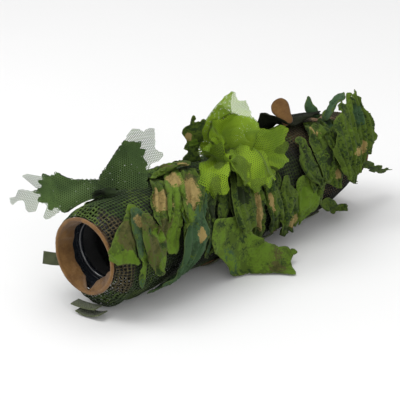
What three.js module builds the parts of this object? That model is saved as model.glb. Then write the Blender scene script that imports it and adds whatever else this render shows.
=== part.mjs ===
// Leaf-cut camouflage cover for a riflescope: a slack net sleeve that is pulled over the optic,
// bound in tan tape at both openings and dressed with loose leaves of printed cloth and tulle.
// Millimetres, +Z up. The sleeve runs along +Y, from the front opening to the rear one.

import * as THREE from 'three';
import { mergeVertices } from 'three/addons/utils/BufferGeometryUtils.js';

// ---------------------------------------------------------------- driving dimensions

const SLEEVE_LENGTH = 400;        // front rim to rear rim
const FRONT_Y = -213;             // where the front rim's face stands in the part's own frame
const AXIS_Z = 60;                // height of the openings' common axis above the ground
const RIM_RADIUS = 38.5;          // outer radius of both tan bindings
const RIM_OPENING = 34.5;         // inner radius of both tan bindings
const BINDING_WIDTH = 4;          // the binding tape along the sleeve
const NET_HALF_WIDTH = 47;        // net sleeve, centre to side
const NET_TOP = 46;               // net sleeve, axis to top
const NET_DEPTH = 58;             // net sleeve, axis to bottom, if nothing lay under it
const NET_FLOOR_Z = 3.4;          // the slack net lies flat this high above the ground
const NET_WALL = 0.9;
const LINER_RADIUS = 31;          // black inner liner, outside
const LINER_WALL = 1;
const LINER_SETBACK = 24;         // liner's end ring behind the rim
const CUFF_WALL = 1;
const LEAF_THICKNESS = 0.7;
const TAPE_THICKNESS = 1.5;
const MESH_GAP = 0.4;             // clearance between pieces that touch

const FRONT_PANEL_END = 140;      // the net is sewn from three panels; these are their seams
const REAR_PANEL_START = 262;
const SLOT_HALF_ANGLE = 25;       // mount slot in the middle panel's underside, degrees

const FLAP_START = 272;           // turret flap, along the sleeve
const FLAP_END = 340;
const FLAP_HINGE_ANGLE = -34;     // the flap's sewn edge, degrees from the top towards +X
const FLAP_FREE_ANGLE = 14;

const PULL_TAB_LENGTH = 27;

// ---------------------------------------------------------------- cloths

const CLOTHS = {
  tanCloth: { color: '#a5835a', roughness: 0.85 },
  camoGreen: { color: '#5f7a30', roughness: 0.85 },
  camoTeal: { color: '#48604a', roughness: 0.85 },
  camoOlive: { color: '#4d5a33', roughness: 0.88 },
  darkTulle: { color: '#3d5427', roughness: 0.8 },
  limeTulle: { color: '#86b02c', roughness: 0.75 },
  net: { color: '#3e5228', roughness: 0.85 },
  blackLiner: { color: '#0c0e10', roughness: 0.3 },
  webbing: { color: '#4a5134', roughness: 0.85 },
  hookAndLoop: { color: '#2b2f22', roughness: 0.95 },
};

function clothMaterial(cloth) {
  return new THREE.MeshStandardMaterial({ metalness: 0, side: THREE.DoubleSide, ...CLOTHS[cloth] });
}

// ---------------------------------------------------------------- the sleeve's own surface

// Piecewise-linear profile: the value at y between the [y, value] stations of a list.
function along(stations, y) {
  if (y <= stations[0][0]) return stations[0][1];
  for (let i = 1; i < stations.length; i += 1) {
    const [y0, v0] = stations[i - 1];
    const [y1, v1] = stations[i];
    if (y <= y1) return v0 + (v1 - v0) * (y - y0) / (y1 - y0);
  }
  return stations[stations.length - 1][1];
}

const NECK = RIM_RADIUS + 0.5;
const END_Y = SLEEVE_LENGTH - BINDING_WIDTH;

const SIDE_PROFILE = [
  [BINDING_WIDTH, NECK], [20, NET_HALF_WIDTH], [150, NET_HALF_WIDTH - 1],
  [250, NET_HALF_WIDTH - 1], [330, NET_HALF_WIDTH + 1], [END_Y, NECK],
];
const TOP_PROFILE = [
  [BINDING_WIDTH, NECK], [18, NET_TOP], [330, NET_TOP], [END_Y, NECK],
];
const BOTTOM_PROFILE = [
  [BINDING_WIDTH, NECK], [14, NET_DEPTH - 6], [24, NET_DEPTH], [340, NET_DEPTH], [END_Y, NECK],
];

// A point on the net, `lift` outside it. The angle is in degrees from the top towards +X.
function netPoint(angle, y, lift = 0) {
  const turn = THREE.MathUtils.degToRad(angle);
  const up = Math.cos(turn);
  const height = along(up > 0 ? TOP_PROFILE : BOTTOM_PROFILE, y);
  const x = (along(SIDE_PROFILE, y) + lift) * Math.sin(turn);
  const z = AXIS_Z + (height + lift) * up;
  return new THREE.Vector3(x, y, Math.max(z, NET_FLOOR_Z - lift));
}

// ---------------------------------------------------------------- closed solids from grids

// Joins two matching grids of points, outer and inner, into one closed wall. `ring` says that the
// columns meet again at the end, so the wall closes round and only its two ends need an edge.
function wallBetween(outer, inner, ring) {
  const rows = outer.length;
  const columns = outer[0].length;
  const positions = [];
  for (const grid of [outer, inner]) {
    for (const row of grid) {
      for (const point of row) positions.push(point.x, point.y, point.z);
    }
  }
  const at = (side, row, column) => (side * rows + row) * columns + (column % columns);
  const index = [];
  const quad = (a, b, c, d) => index.push(a, b, c, a, c, d);
  const spans = ring ? columns : columns - 1;
  for (let i = 0; i < rows - 1; i += 1) {
    for (let j = 0; j < spans; j += 1) {
      quad(at(0, i, j), at(0, i + 1, j), at(0, i + 1, j + 1), at(0, i, j + 1));
      quad(at(1, i, j), at(1, i, j + 1), at(1, i + 1, j + 1), at(1, i + 1, j));
    }
  }
  const last = rows - 1;
  for (let j = 0; j < spans; j += 1) {
    quad(at(0, 0, j), at(0, 0, j + 1), at(1, 0, j + 1), at(1, 0, j));
    quad(at(0, last, j), at(1, last, j), at(1, last, j + 1), at(0, last, j + 1));
  }
  if (!ring) {
    const end = columns - 1;
    for (let i = 0; i < last; i += 1) {
      quad(at(0, i, 0), at(1, i, 0), at(1, i + 1, 0), at(0, i + 1, 0));
      quad(at(0, i, end), at(0, i + 1, end), at(1, i + 1, end), at(1, i, end));
    }
  }
  const geometry = new THREE.BufferGeometry();
  geometry.setAttribute('position', new THREE.Float32BufferAttribute(positions, 3));
  geometry.setIndex(index);
  return facingOut(geometry);
}

// Turns every face over if the solid's signed volume says that they point inwards.
function facingOut(geometry) {
  const points = geometry.getAttribute('position');
  const index = geometry.getIndex();
  const a = new THREE.Vector3();
  const b = new THREE.Vector3();
  const c = new THREE.Vector3();
  let volume = 0;
  for (let i = 0; i < index.count; i += 3) {
    a.fromBufferAttribute(points, index.getX(i));
    b.fromBufferAttribute(points, index.getX(i + 1));
    c.fromBufferAttribute(points, index.getX(i + 2));
    volume += a.dot(b.cross(c));
  }
  if (volume < 0) {
    for (let i = 0; i < index.count; i += 3) {
      const kept = index.getX(i + 1);
      index.setX(i + 1, index.getX(i + 2));
      index.setX(i + 2, kept);
    }
  }
  geometry.computeVertexNormals();
  return geometry;
}

function spread(from, to, steps) {
  return Array.from({ length: steps + 1 }, (_, i) => from + (to - from) * i / steps);
}

// ---------------------------------------------------------------- pieces

const sleeve = new THREE.Group();
sleeve.position.set(0, FRONT_Y, 0);

function addPiece(name, cloth, geometry) {
  const mesh = new THREE.Mesh(geometry, clothMaterial(cloth));
  mesh.name = name;
  sleeve.add(mesh);
  return mesh;
}

// A round tube about the sleeve's axis from [radius, y] stations down its outside.
function tubeOfRevolution(name, cloth, stations, wall, segments = 32) {
  const profile = stations.map(([radius, y]) => new THREE.Vector2(radius, y));
  for (const [radius, y] of [...stations].reverse()) profile.push(new THREE.Vector2(radius - wall, y));
  profile.push(profile[0].clone());
  const geometry = new THREE.LatheGeometry(profile, segments);
  geometry.deleteAttribute('normal');
  geometry.deleteAttribute('uv');
  geometry.translate(0, 0, AXIS_Z);
  return addPiece(name, cloth, facingOut(mergeVertices(geometry)));
}

// A panel of the net all round the sleeve.
function netRing(name, yStations, segments = 30) {
  const angles = spread(0, 360, segments).slice(0, segments);
  const grid = (lift) => yStations.map((y) => angles.map((angle) => netPoint(angle, y, lift)));
  return addPiece(name, 'net', wallBetween(grid(0), grid(-NET_WALL), true));
}

// A band of cloth or tape that follows the net between two angles and two stations.
function netBand(name, cloth, angles, yStations, lift, thickness) {
  const grid = (height) => yStations.map((y) => angles.map((angle) => netPoint(angle, y, height)));
  return addPiece(name, cloth, wallBetween(grid(lift + thickness), grid(lift), false));
}

// The surface of a leaf from its root to its tip. `place(s, t)` gives the point at s along the
// leaf, 0 to 1, and t across it, -1 to 1; `widths` are the leaf's full widths from root to tip.
function leafSolid(name, cloth, widths, place, thickness = LEAF_THICKNESS) {
  const columns = 4;
  const step = 0.01;
  const outer = [];
  const inner = [];
  widths.forEach((width, i) => {
    const s = i / (widths.length - 1);
    const outerRow = [];
    const innerRow = [];
    for (const t of spread(-1, 1, columns)) {
      const point = place(s, t, width);
      const onward = place(Math.min(s + step, 1), t, width).sub(place(Math.max(s - step, 0), t, width));
      const sideways = place(s, t + step, width).sub(place(s, t - step, width));
      const normal = sideways.cross(onward).normalize().multiplyScalar(thickness / 2);
      outerRow.push(point.clone().add(normal));
      innerRow.push(point.clone().sub(normal));
    }
    outer.push(outerRow);
    inner.push(innerRow);
  });
  return addPiece(name, cloth, wallBetween(outer, inner, false));
}

// A leaf that lies on the sleeve. The path is a list of [angle, y, lift] from root to tip, and the
// width runs square to it in the net's own surface.
function lyingLeaf(name, cloth, path, widths) {
  const curve = new THREE.CatmullRomCurve3(path.map(([angle, y, lift]) => new THREE.Vector3(angle, y, lift)));
  const arc = THREE.MathUtils.degToRad(NET_HALF_WIDTH);
  const place = (s, t, width) => {
    const here = curve.getPoint(s);
    const heading = curve.getTangent(s);
    const run = new THREE.Vector2(heading.x * arc, heading.y).normalize();
    const offset = t * width / 2;
    return netPoint(here.x - run.y * offset / arc, here.y + run.x * offset, here.z);
  };
  return leafSolid(name, cloth, widths, place);
}

// A leaf that stands or hangs free. The path is a list of points from root to tip, `across` lists
// the direction of its width from root to tip, and `cup` is how far its sides curl forwards.
function freeLeaf(name, cloth, path, across, widths, cup = 0) {
  const curve = new THREE.CatmullRomCurve3(path.map((point) => new THREE.Vector3(...point)));
  const sides = across.map((side) => new THREE.Vector3(...side).normalize());
  const place = (s, t, width) => {
    const span = Math.min(Math.floor(s * (sides.length - 1)), sides.length - 2);
    const part = s * (sides.length - 1) - span;
    const side = sides[span].clone().lerp(sides[span + 1], part).normalize();
    const face = side.clone().cross(curve.getTangent(s)).normalize();
    const point = curve.getPoint(s).addScaledVector(side, t * width / 2);
    return point.addScaledVector(face, cup * t * t * s);
  };
  return leafSolid(name, cloth, widths, place);
}

// ---------------------------------------------------------------- openings, cuffs and liner

const bindingTaper = 0.6;
tubeOfRevolution('front_binding', 'tanCloth', [
  [RIM_RADIUS - bindingTaper, 0], [RIM_RADIUS, 1], [RIM_RADIUS, BINDING_WIDTH - MESH_GAP],
], RIM_RADIUS - RIM_OPENING, 40);
tubeOfRevolution('rear_binding', 'tanCloth', [
  [RIM_RADIUS, END_Y + MESH_GAP], [RIM_RADIUS, SLEEVE_LENGTH - 1], [RIM_RADIUS - bindingTaper, SLEEVE_LENGTH],
], RIM_RADIUS - RIM_OPENING, 40);

const CUFF_START = BINDING_WIDTH + MESH_GAP;
const CUFF_END = LINER_SETBACK - 2;
tubeOfRevolution('front_cuff', 'tanCloth', [
  [RIM_OPENING + 2, CUFF_START], [RIM_OPENING, 14], [LINER_RADIUS + 2, CUFF_END],
], CUFF_WALL);
const REAR_CUFF_START = 296;
tubeOfRevolution('rear_cuff', 'tanCloth', [
  [LINER_RADIUS + 8, REAR_CUFF_START], [LINER_RADIUS + 8, 350], [RIM_OPENING + 2, END_Y - MESH_GAP],
], CUFF_WALL);

const RING_WIDTH = 5;
const RING_BORE = LINER_RADIUS - 3;
const REAR_RING_Y = SLEEVE_LENGTH - LINER_SETBACK - RING_WIDTH;
for (const [name, y] of [['front_liner_ring', LINER_SETBACK], ['rear_liner_ring', REAR_RING_Y]]) {
  const stations = [[LINER_RADIUS, y], [LINER_RADIUS + 0.6, y + RING_WIDTH / 2], [LINER_RADIUS, y + RING_WIDTH]];
  tubeOfRevolution(name, 'blackLiner', stations, LINER_RADIUS - RING_BORE, 40);
}
const LINER_START = LINER_SETBACK + RING_WIDTH + MESH_GAP;
tubeOfRevolution('front_liner', 'blackLiner', [
  [LINER_RADIUS, LINER_START], [LINER_RADIUS, FRONT_PANEL_END],
], LINER_WALL);
tubeOfRevolution('rear_liner', 'blackLiner', [
  [LINER_RADIUS, REAR_PANEL_START], [LINER_RADIUS, REAR_RING_Y - MESH_GAP],
], LINER_WALL);

// ---------------------------------------------------------------- net panels, slot and straps

netRing('front_net', [BINDING_WIDTH, 10, 18, 60, 100, FRONT_PANEL_END]);
netRing('rear_net', [REAR_PANEL_START + MESH_GAP, 300, 330, 350, 376, END_Y]);

const SLOT_EDGE = 180 - SLOT_HALF_ANGLE;
const MIDDLE_STATIONS = [FRONT_PANEL_END + MESH_GAP, 180, 220, REAR_PANEL_START];
netBand('middle_net', 'net', spread(-SLOT_EDGE, SLOT_EDGE, 28), MIDDLE_STATIONS, -NET_WALL, NET_WALL);

const SLOT_TAPE_STATIONS = [FRONT_PANEL_END + 4, 200, REAR_PANEL_START - 4];
const TAPE_ANGLES = spread(SLOT_EDGE - 9, SLOT_EDGE - 0.5, 3);
netBand('slot_binding_right', 'tanCloth', TAPE_ANGLES, SLOT_TAPE_STATIONS, MESH_GAP, 0.8);
netBand('slot_binding_left', 'tanCloth', TAPE_ANGLES.map((a) => -a).reverse(), SLOT_TAPE_STATIONS, MESH_GAP, 0.8);

const STRAP_LIFT = NET_FLOOR_Z - TAPE_THICKNESS;
const STRAP_WIDTH = 24;
const STRAP_ANGLES = spread(140, 220, 14);
const FRONT_STRAP_Y = 156;
const REAR_STRAP_Y = 222;
const FLOOR_STRAP_Y = 318;
for (const [name, y] of [['front_belly_strap', FRONT_STRAP_Y], ['rear_belly_strap', REAR_STRAP_Y]]) {
  netBand(name, 'webbing', STRAP_ANGLES, [y, y + STRAP_WIDTH], STRAP_LIFT, TAPE_THICKNESS);
  const patch = name.replace('strap', 'hook_patch');
  const patchStations = [y + 3, y + STRAP_WIDTH - 3];
  netBand(patch, 'hookAndLoop', spread(127, 138.5, 3), patchStations, MESH_GAP, 2);
}
const FLOOR_STRAP_STATIONS = [FLOOR_STRAP_Y, FLOOR_STRAP_Y + STRAP_WIDTH];
netBand('rear_floor_strap', 'webbing', spread(160, 200, 8), FLOOR_STRAP_STATIONS, STRAP_LIFT, TAPE_THICKNESS);

// ---------------------------------------------------------------- front strap

// The cinching strap's spare webbing, folded flat under the front rim.
function foldedWebbing(name, corners, width, thickness) {
  const curve = new THREE.CatmullRomCurve3(corners.map((corner) => new THREE.Vector3(...corner)));
  const outer = [];
  const inner = [];
  for (const s of spread(0, 1, 8)) {
    const point = curve.getPoint(s);
    const face = curve.getTangent(s).cross(new THREE.Vector3(0, 1, 0)).normalize().multiplyScalar(thickness / 2);
    const ends = [-width / 2, width / 2].map((w) => point.clone().add(new THREE.Vector3(0, w, 0)));
    outer.push(ends.map((end) => end.clone().add(face)));
    inner.push(ends.map((end) => end.clone().sub(face)));
  }
  return addPiece(name, 'webbing', wallBetween(outer, inner, false));
}
foldedWebbing('front_strap_upper_fold', [[15, 4, 10.5], [6, 3, 9], [-5, 2, 8.5], [-14, 1, 9]], 12, 1.4);
foldedWebbing('front_strap_lower_fold', [[20, 5, 6], [12, 4, 3], [2, 3, 1.6], [-8, 2, 3.4]], 14, 1.4);

// The strap's free end, standing out of the binding on the left.
const TAIL_ROOT = [-42.4, 12, 41];
freeLeaf('front_strap_tail', 'webbing', [
  TAIL_ROOT, [-50, 9, 40], [-60, 5, 40],
], [[0, 0.2, 1], [0, 0.3, 1]], [12, 12, 13, 13, 12]);

// ---------------------------------------------------------------- turret flap and pull tab

const FLAP_ANGLES = spread(FLAP_HINGE_ANGLE, FLAP_FREE_ANGLE, 6);
const FLAP_STATIONS = spread(FLAP_START, FLAP_END, 4);
const flapLift = (angle) => 2 + 5 * (angle - FLAP_HINGE_ANGLE) / (FLAP_FREE_ANGLE - FLAP_HINGE_ANGLE);
const flapGrid = (extra) => FLAP_STATIONS.map((y) => (
  FLAP_ANGLES.map((angle) => netPoint(angle, y, flapLift(angle) + extra))
));
addPiece('turret_flap', 'camoOlive', wallBetween(flapGrid(1.2), flapGrid(0), false));

const TAB_BASE = netPoint(FLAP_FREE_ANGLE - 6, 297, 8.6);
freeLeaf('pull_tab', 'tanCloth', [
  [TAB_BASE.x, TAB_BASE.y, TAB_BASE.z + 0.6],
  [TAB_BASE.x - 4, TAB_BASE.y - 3, TAB_BASE.z + PULL_TAB_LENGTH / 2],
  [TAB_BASE.x - 9, TAB_BASE.y - 6, TAB_BASE.z + PULL_TAB_LENGTH],
], [[0.3, 1, 0], [0.55, 0.83, 0]], [9, 10, 13, 17, 18, 16, 9], 1);

// ---------------------------------------------------------------- tulle wings and lime flower

const KNOT = [-12, 43, 111];
freeLeaf('tulle_knot', 'darkTulle', [
  [KNOT[0] - 4, KNOT[1] - 2, KNOT[2] - 3], [KNOT[0], KNOT[1], KNOT[2]], [KNOT[0] + 5, KNOT[1] + 4, KNOT[2] - 2],
], [[0, 1, 0], [0, 1, 0]], [6, 9, 10, 9, 6], 0);

freeLeaf('left_tulle_wing', 'darkTulle', [
  [-19, 38, 111], [-40, 25, 108], [-63, 8, 103], [-84, -10, 101],
], [[0, 0.6, 0.8], [0, 0.5, 0.9], [-0.15, 0, 1]], [8, 20, 28, 34, 40, 42, 40, 34, 14], 3);
freeLeaf('upright_tulle_wing', 'darkTulle', [
  [-2, 50, 114], [4, 58, 132], [14, 66, 155], [22, 70, 176],
], [[0.75, 0.66, 0], [0.75, 0.66, 0]], [14, 34, 48, 52, 50, 54, 46, 34, 18], 3);

freeLeaf('lime_back_petal', 'limeTulle', [
  [-6, 190, 112], [-9, 198, 134], [-6, 208, 155], [-2, 216, 171],
], [[0.75, 0.66, 0], [0.75, 0.66, 0.1]], [16, 40, 60, 66, 62, 54, 44, 28, 10], 6);
const ALONG_BOWL_RIM = [[-0.07, 0.92, -0.37], [-0.07, 0.92, -0.37]];
freeLeaf('lime_bowl_petal', 'limeTulle', [
  [12, 188, 116], [7, 186, 126], [3, 184, 137], [1, 183, 148],
], ALONG_BOWL_RIM, [10, 20, 28, 32, 32, 26, 14], 0);
freeLeaf('lime_front_petal', 'limeTulle', [
  [20, 196, 112], [34, 197, 112], [45, 190, 101], [52, 184, 84],
], [[0, 1, 0], [0, 1, -0.1]], [12, 30, 46, 54, 52, 46, 28], 0);
freeLeaf('lime_right_petal', 'limeTulle', [
  [20, 212, 116], [27, 226, 116], [33, 244, 112], [36, 262, 108],
], [[-0.49, 0.11, 0.87], [-0.49, 0.11, 0.87]], [8, 20, 28, 30, 32, 28, 14], 0);
freeLeaf('lime_left_petal', 'limeTulle', [
  [13, 176, 114], [20, 168, 115], [23, 158, 121], [19, 148, 131],
], [[0.44, 0.6, -0.66], [0.44, 0.6, -0.66]], [8, 16, 24, 26, 26, 22, 12], 0);

// ---------------------------------------------------------------- camouflage leaves, right side

lyingLeaf('front_side_leaf', 'camoGreen',
  [[24, 50, 2], [48, 38, 3], [72, 28, 4], [90, 23, 6]], [14, 26, 34, 40, 44, 50, 56, 58]);
lyingLeaf('olive_side_leaf', 'camoOlive',
  [[44, 48, 8], [62, 44, 9], [82, 41, 12], [102, 43, 13]], [14, 20, 26, 22, 24, 20, 12]);
lyingLeaf('tan_print_band', 'camoGreen',
  [[-2, 118, 2], [32, 102, 4], [60, 92, 5], [90, 84, 6]], [30, 42, 48, 42, 46, 42, 44, 30]);
freeLeaf('teal_drape', 'camoTeal', [
  [61, 92, 70], [63, 88, 54], [58, 80, 36], [47, 67, 20], [35, 54, 9],
], [[0, 1, 0], [-0.1, 1, 0]], [28, 36, 42, 44, 40, 32, 18]);
lyingLeaf('top_crest_leaf', 'camoGreen',
  [[-26, 136, 3], [-24, 116, 5], [-22, 96, 6], [-18, 76, 3]], [14, 24, 28, 22, 26, 12]);
freeLeaf('jagged_crest_leaf', 'camoOlive', [
  [-20, 150, 109], [-22, 149, 126], [-16, 149, 142], [-8, 152, 158],
], [[0.7, 0.7, 0], [0.6, 0.8, 0]], [14, 22, 26, 20, 24, 14, 4], 2);
lyingLeaf('dark_side_strip', 'camoOlive',
  [[64, 148, 2.5], [84, 146, 5], [104, 143, 7], [122, 140, 7]], [12, 16, 15, 18, 16, 12]);
freeLeaf('ground_flap', 'camoGreen', [
  [58, 166, 58], [60, 172, 38.5], [62, 182, 22], [72, 198, 12], [84, 216, 6],
], [[0, 1, 0.1], [0.1, 0.85, 0.45], [0.26, 0.66, 0.7], [-0.2, 0.75, 0.5], [-0.62, 0.78, 0.16]],
[20, 26, 34, 40, 42, 42, 40, 38, 36]);
lyingLeaf('gathered_side_leaf', 'camoGreen',
  [[50, 210, 2.5], [74, 210, 4], [98, 209, 7], [116, 208, 8]], [20, 26, 30, 32, 30, 30, 24]);
lyingLeaf('tan_spot_leaf', 'camoGreen',
  [[56, 244, 3], [84, 246, 6], [108, 246, 9], [128, 248, 9]], [20, 32, 36, 32, 38, 34, 28, 16]);
lyingLeaf('bright_side_leaf', 'camoGreen',
  [[50, 280, 3], [80, 281, 6], [104, 282, 9], [124, 284, 9]], [16, 24, 28, 24, 28, 22, 12]);

// ---------------------------------------------------------------- rear leaves

freeLeaf('pointed_top_leaf', 'camoTeal', [
  [2, 350, 107], [-2, 348, 114], [-6, 349, 121], [-9, 352, 128],
], [[0.9, 0.3, 0], [0.8, 0.6, 0]], [12, 16, 14, 10, 4]);
lyingLeaf('bright_rear_leaf', 'camoGreen',
  [[44, 318, 2], [66, 320, 3], [90, 324, 4], [108, 330, 5]], [24, 40, 44, 42, 48, 42, 36, 22]);
freeLeaf('big_rear_leaf', 'camoGreen', [
  [59, 356, 34], [61, 360, 64], [52, 368, 98], [32, 376, 134],
], [[0, 1, 0], [-0.1, 1, 0], [-0.2, 0.97, -0.1]], [10, 34, 54, 70, 78, 82, 68, 44, 14], 2);
freeLeaf('rear_top_leaf', 'camoGreen', [
  [18, 346, 109], [16, 354, 117], [14, 368, 123], [10, 384, 127],
], [[0.9, -0.4, 0.2], [0.9, -0.4, 0.2]], [12, 22, 28, 24, 28, 20, 8], 2);
freeLeaf('oak_tail_leaf', 'camoGreen', [
  [42, 396, 46], [42, 410, 38], [42, 424, 33], [41, 438, 30],
], [[0.8, 0, 0.5], [0.8, 0, 0.5]], [12, 18, 13, 20, 13, 18, 8]);
lyingLeaf('rear_tail_leaf', 'camoGreen',
  [[118, 312, 3], [126, 328, 4], [134, 344, 5], [138, 360, 6]], [14, 20, 18, 20, 8]);

// ---------------------------------------------------------------- leaves on the far side

const FAR_SIDE = [
  ['far_front_leaf', 'camoGreen', 62, 3],
  ['far_olive_leaf', 'camoOlive', 112, 3],
  ['far_middle_leaf', 'camoGreen', 166, 4],
  ['far_teal_leaf', 'camoTeal', 222, 3],
  ['far_rear_leaf', 'camoGreen', 300, 4],
  ['far_tail_leaf', 'camoOlive', 354, 3],
];
freeLeaf('far_ground_flap', 'camoGreen', [
  [-60, 258, 52], [-62, 258, 32], [-70, 258, 15], [-82, 256, 5.5], [-95, 254, 2],
], [[0, 1, 0], [0.1, 1, 0]], [22, 34, 42, 38, 46, 42, 34, 20]);
for (const [name, cloth, y, lift] of FAR_SIDE) {
  const path = [[-44, y, lift], [-72, y + 3, lift + 2], [-100, y - 2, lift + 5], [-124, y + 2, lift + 8]];
  lyingLeaf(name, cloth, path, [22, 36, 42, 36, 44, 38, 26, 10]);
}

export default sleeve;
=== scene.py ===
"""Looks for the riflescope's leaf-cut camouflage cover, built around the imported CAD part.

Lengths in this file are millimetres in the sleeve's own frame unless a name says otherwise:
x across, y from the front rim's face, z from the ground. row() turns them into the CAD's metres.
"""

import math

import bpy
import numpy as np
from mathutils import Matrix, Vector
from mathutils.geometry import delaunay_2d_cdt


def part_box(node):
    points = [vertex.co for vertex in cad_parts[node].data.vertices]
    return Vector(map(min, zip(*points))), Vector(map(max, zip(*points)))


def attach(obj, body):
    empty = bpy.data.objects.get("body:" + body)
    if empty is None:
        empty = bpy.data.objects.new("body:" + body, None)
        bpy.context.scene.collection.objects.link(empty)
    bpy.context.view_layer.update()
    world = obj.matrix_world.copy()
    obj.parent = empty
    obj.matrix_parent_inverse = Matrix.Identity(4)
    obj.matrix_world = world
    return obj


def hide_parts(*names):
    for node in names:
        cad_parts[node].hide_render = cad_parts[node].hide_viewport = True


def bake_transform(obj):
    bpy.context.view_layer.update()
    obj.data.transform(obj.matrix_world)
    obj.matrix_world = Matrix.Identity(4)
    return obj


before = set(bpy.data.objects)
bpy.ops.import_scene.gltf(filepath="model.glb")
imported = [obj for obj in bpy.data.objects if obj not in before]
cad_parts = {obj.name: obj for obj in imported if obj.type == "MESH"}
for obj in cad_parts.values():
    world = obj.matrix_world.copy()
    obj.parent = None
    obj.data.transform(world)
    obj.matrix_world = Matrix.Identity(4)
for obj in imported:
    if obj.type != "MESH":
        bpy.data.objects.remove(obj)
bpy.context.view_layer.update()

MM = 0.001
rim_low, rim_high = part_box("front_binding")
RIM_Y = rim_low.y
AXIS_X = (rim_low.x + rim_high.x) / 2
AXIS = (rim_low.z + rim_high.z) / 2 / MM
ORIGIN = np.array([AXIS_X, RIM_Y, 0.0])


def row(points):
    """Sleeve millimetres to metres in the part's frame."""
    return np.asarray(points, float) * MM + ORIGIN


# ------------------------------------------------------------------ camera, light and floor

scene = bpy.context.scene
scene.view_settings.view_transform = "Standard"

AZIMUTH, ELEVATION, DISTANCE = math.radians(41.583), math.radians(22.506), 1.7025
AIM_RIGHT, AIM_UP = -0.0227, -0.0037  # the object is not quite in the middle of the picture


def aim_camera():
    level = math.cos(ELEVATION)
    back = Vector((math.sin(AZIMUTH) * level, -math.cos(AZIMUTH) * level, math.sin(ELEVATION)))
    right = Vector((math.cos(AZIMUTH), math.sin(AZIMUTH), 0))
    up = back.cross(right)
    aim = Vector(row((0, 200, AXIS))) + right * AIM_RIGHT + up * AIM_UP
    data = bpy.data.cameras.new("camera")
    data.lens, data.sensor_width = 150, 36
    data.clip_start, data.clip_end = 0.05, 50
    camera = bpy.data.objects.new("camera", data)
    scene.collection.objects.link(camera)
    camera.location = aim + back * DISTANCE
    camera.rotation_mode = "QUATERNION"
    camera.rotation_quaternion = back.to_track_quat("Z", "Y")
    scene.camera = camera


aim_camera()


def area_light(name, place, size, power):
    """A softbox at place, in metres, that faces the object."""
    data = bpy.data.lights.new(name, "AREA")
    data.shape = "RECTANGLE"
    data.size, data.size_y = size
    data.energy = power
    lamp = bpy.data.objects.new(name, data)
    scene.collection.objects.link(lamp)
    lamp.location = place
    lamp.rotation_mode = "QUATERNION"
    lamp.rotation_quaternion = (Vector(place) - Vector((0, 0, 0.05))).to_track_quat("Z", "Y")


area_light("key", (-0.9, -1.0, 1.7), (0.9, 0.9), 17)
area_light("fill", (1.6, -0.9, 0.9), (1.2, 1.0), 7)
area_light("top", (0.1, 0.2, 2.0), (1.4, 1.4), 12)

world = bpy.data.worlds.new("studio")
world.use_nodes = True
world.node_tree.nodes["Background"].inputs["Color"].default_value = (1, 1, 1, 1)
world.node_tree.nodes["Background"].inputs["Strength"].default_value = 0.82
scene.world = world

# ------------------------------------------------------------------ noise and shapes


def lattice(ix, iy, iz, seed):
    """A pseudo-random value from -1 to 1 for each whole-numbered place."""
    n = (ix * 374761393 + iy * 668265263 + iz * 1440662683 + seed * 974634777) & 0xFFFFFFFF
    n = ((n ^ (n >> 13)) * 1274126177) & 0xFFFFFFFF
    return ((n ^ (n >> 16)) & 0xFFFF) / 32767.5 - 1


def noise(points, seed=0):
    """Smooth value noise from -1 to 1 at points of any shape (..., 3)."""
    points = np.asarray(points, float)
    cell = np.floor(points).astype(np.int64)
    part = points - cell
    part = part * part * (3 - 2 * part)
    total = 0
    for dx in (0, 1):
        for dy in (0, 1):
            for dz in (0, 1):
                weight = 1
                for axis, step in enumerate((dx, dy, dz)):
                    weight = weight * (part[..., axis] if step else 1 - part[..., axis])
                corner = lattice(cell[..., 0] + dx, cell[..., 1] + dy, cell[..., 2] + dz, seed)
                total = total + weight * corner
    return total


def cloth_noise(u, v, size, seed):
    u, v = np.broadcast_arrays(np.asarray(u, float), np.asarray(v, float))
    return noise(np.stack([u / size, v / size, np.full(u.shape, seed * 0.37)], -1), seed)


def ramp(x, start, end):
    """0 before start, 1 after end and smooth between."""
    t = np.clip((np.asarray(x, float) - start) / (end - start), 0, 1)
    return t * t * (3 - 2 * t)


def unit(vectors):
    vectors = np.asarray(vectors, float)
    return vectors / np.linalg.norm(vectors, axis=-1, keepdims=True)


def catmull(points, count, closed=False):
    """A smooth curve through points, sampled evenly in its parameter."""
    p = np.asarray(points, float)
    n = len(p)
    if closed:
        ring = np.vstack([p[-1:], p, p[:2]])
        spans = n
    else:
        ring = np.vstack([2 * p[0] - p[1], p, 2 * p[-1] - p[-2]])
        spans = n - 1
    s = np.linspace(0, spans, count, endpoint=not closed)
    k = np.minimum(s.astype(int), spans - 1)
    t = (s - k)[:, None]
    a, b, c, d = (ring[k + i] for i in range(4))
    return 0.5 * (2 * b + (c - a) * t + (2 * a - 5 * b + 4 * c - d) * t**2 + (3 * b - a - 3 * c + d) * t**3)


def evenly(curve, pitch, closed=False):
    """The curve resampled at about pitch."""
    pts = np.vstack([curve, curve[:1]]) if closed else curve
    run = np.concatenate([[0], np.cumsum(np.linalg.norm(np.diff(pts, axis=0), axis=1))])
    count = max(3, int(round(run[-1] / pitch)))
    s = np.linspace(0, run[-1], count + (0 if closed else 1), endpoint=not closed)
    return np.stack([np.interp(s, run, pts[:, i]) for i in range(pts.shape[1])], -1)


# The net's own surface: half width, height above and depth below the axis along the sleeve.
NECK, NET_END = 39.0, 396.0
SIDE = [(4, NECK), (20, 47), (150, 46), (250, 46), (330, 48), (NET_END, NECK)]
TOP = [(4, NECK), (18, 46), (330, 46), (NET_END, NECK)]
BOTTOM = [(4, NECK), (14, 52), (24, 58), (340, 58), (NET_END, NECK)]
NET_FLOOR = 3.4


def along(stations, y):
    """The value at y of a profile given as (y, value) stations."""
    ys, values = zip(*stations)
    return np.interp(y, ys, values)


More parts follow.
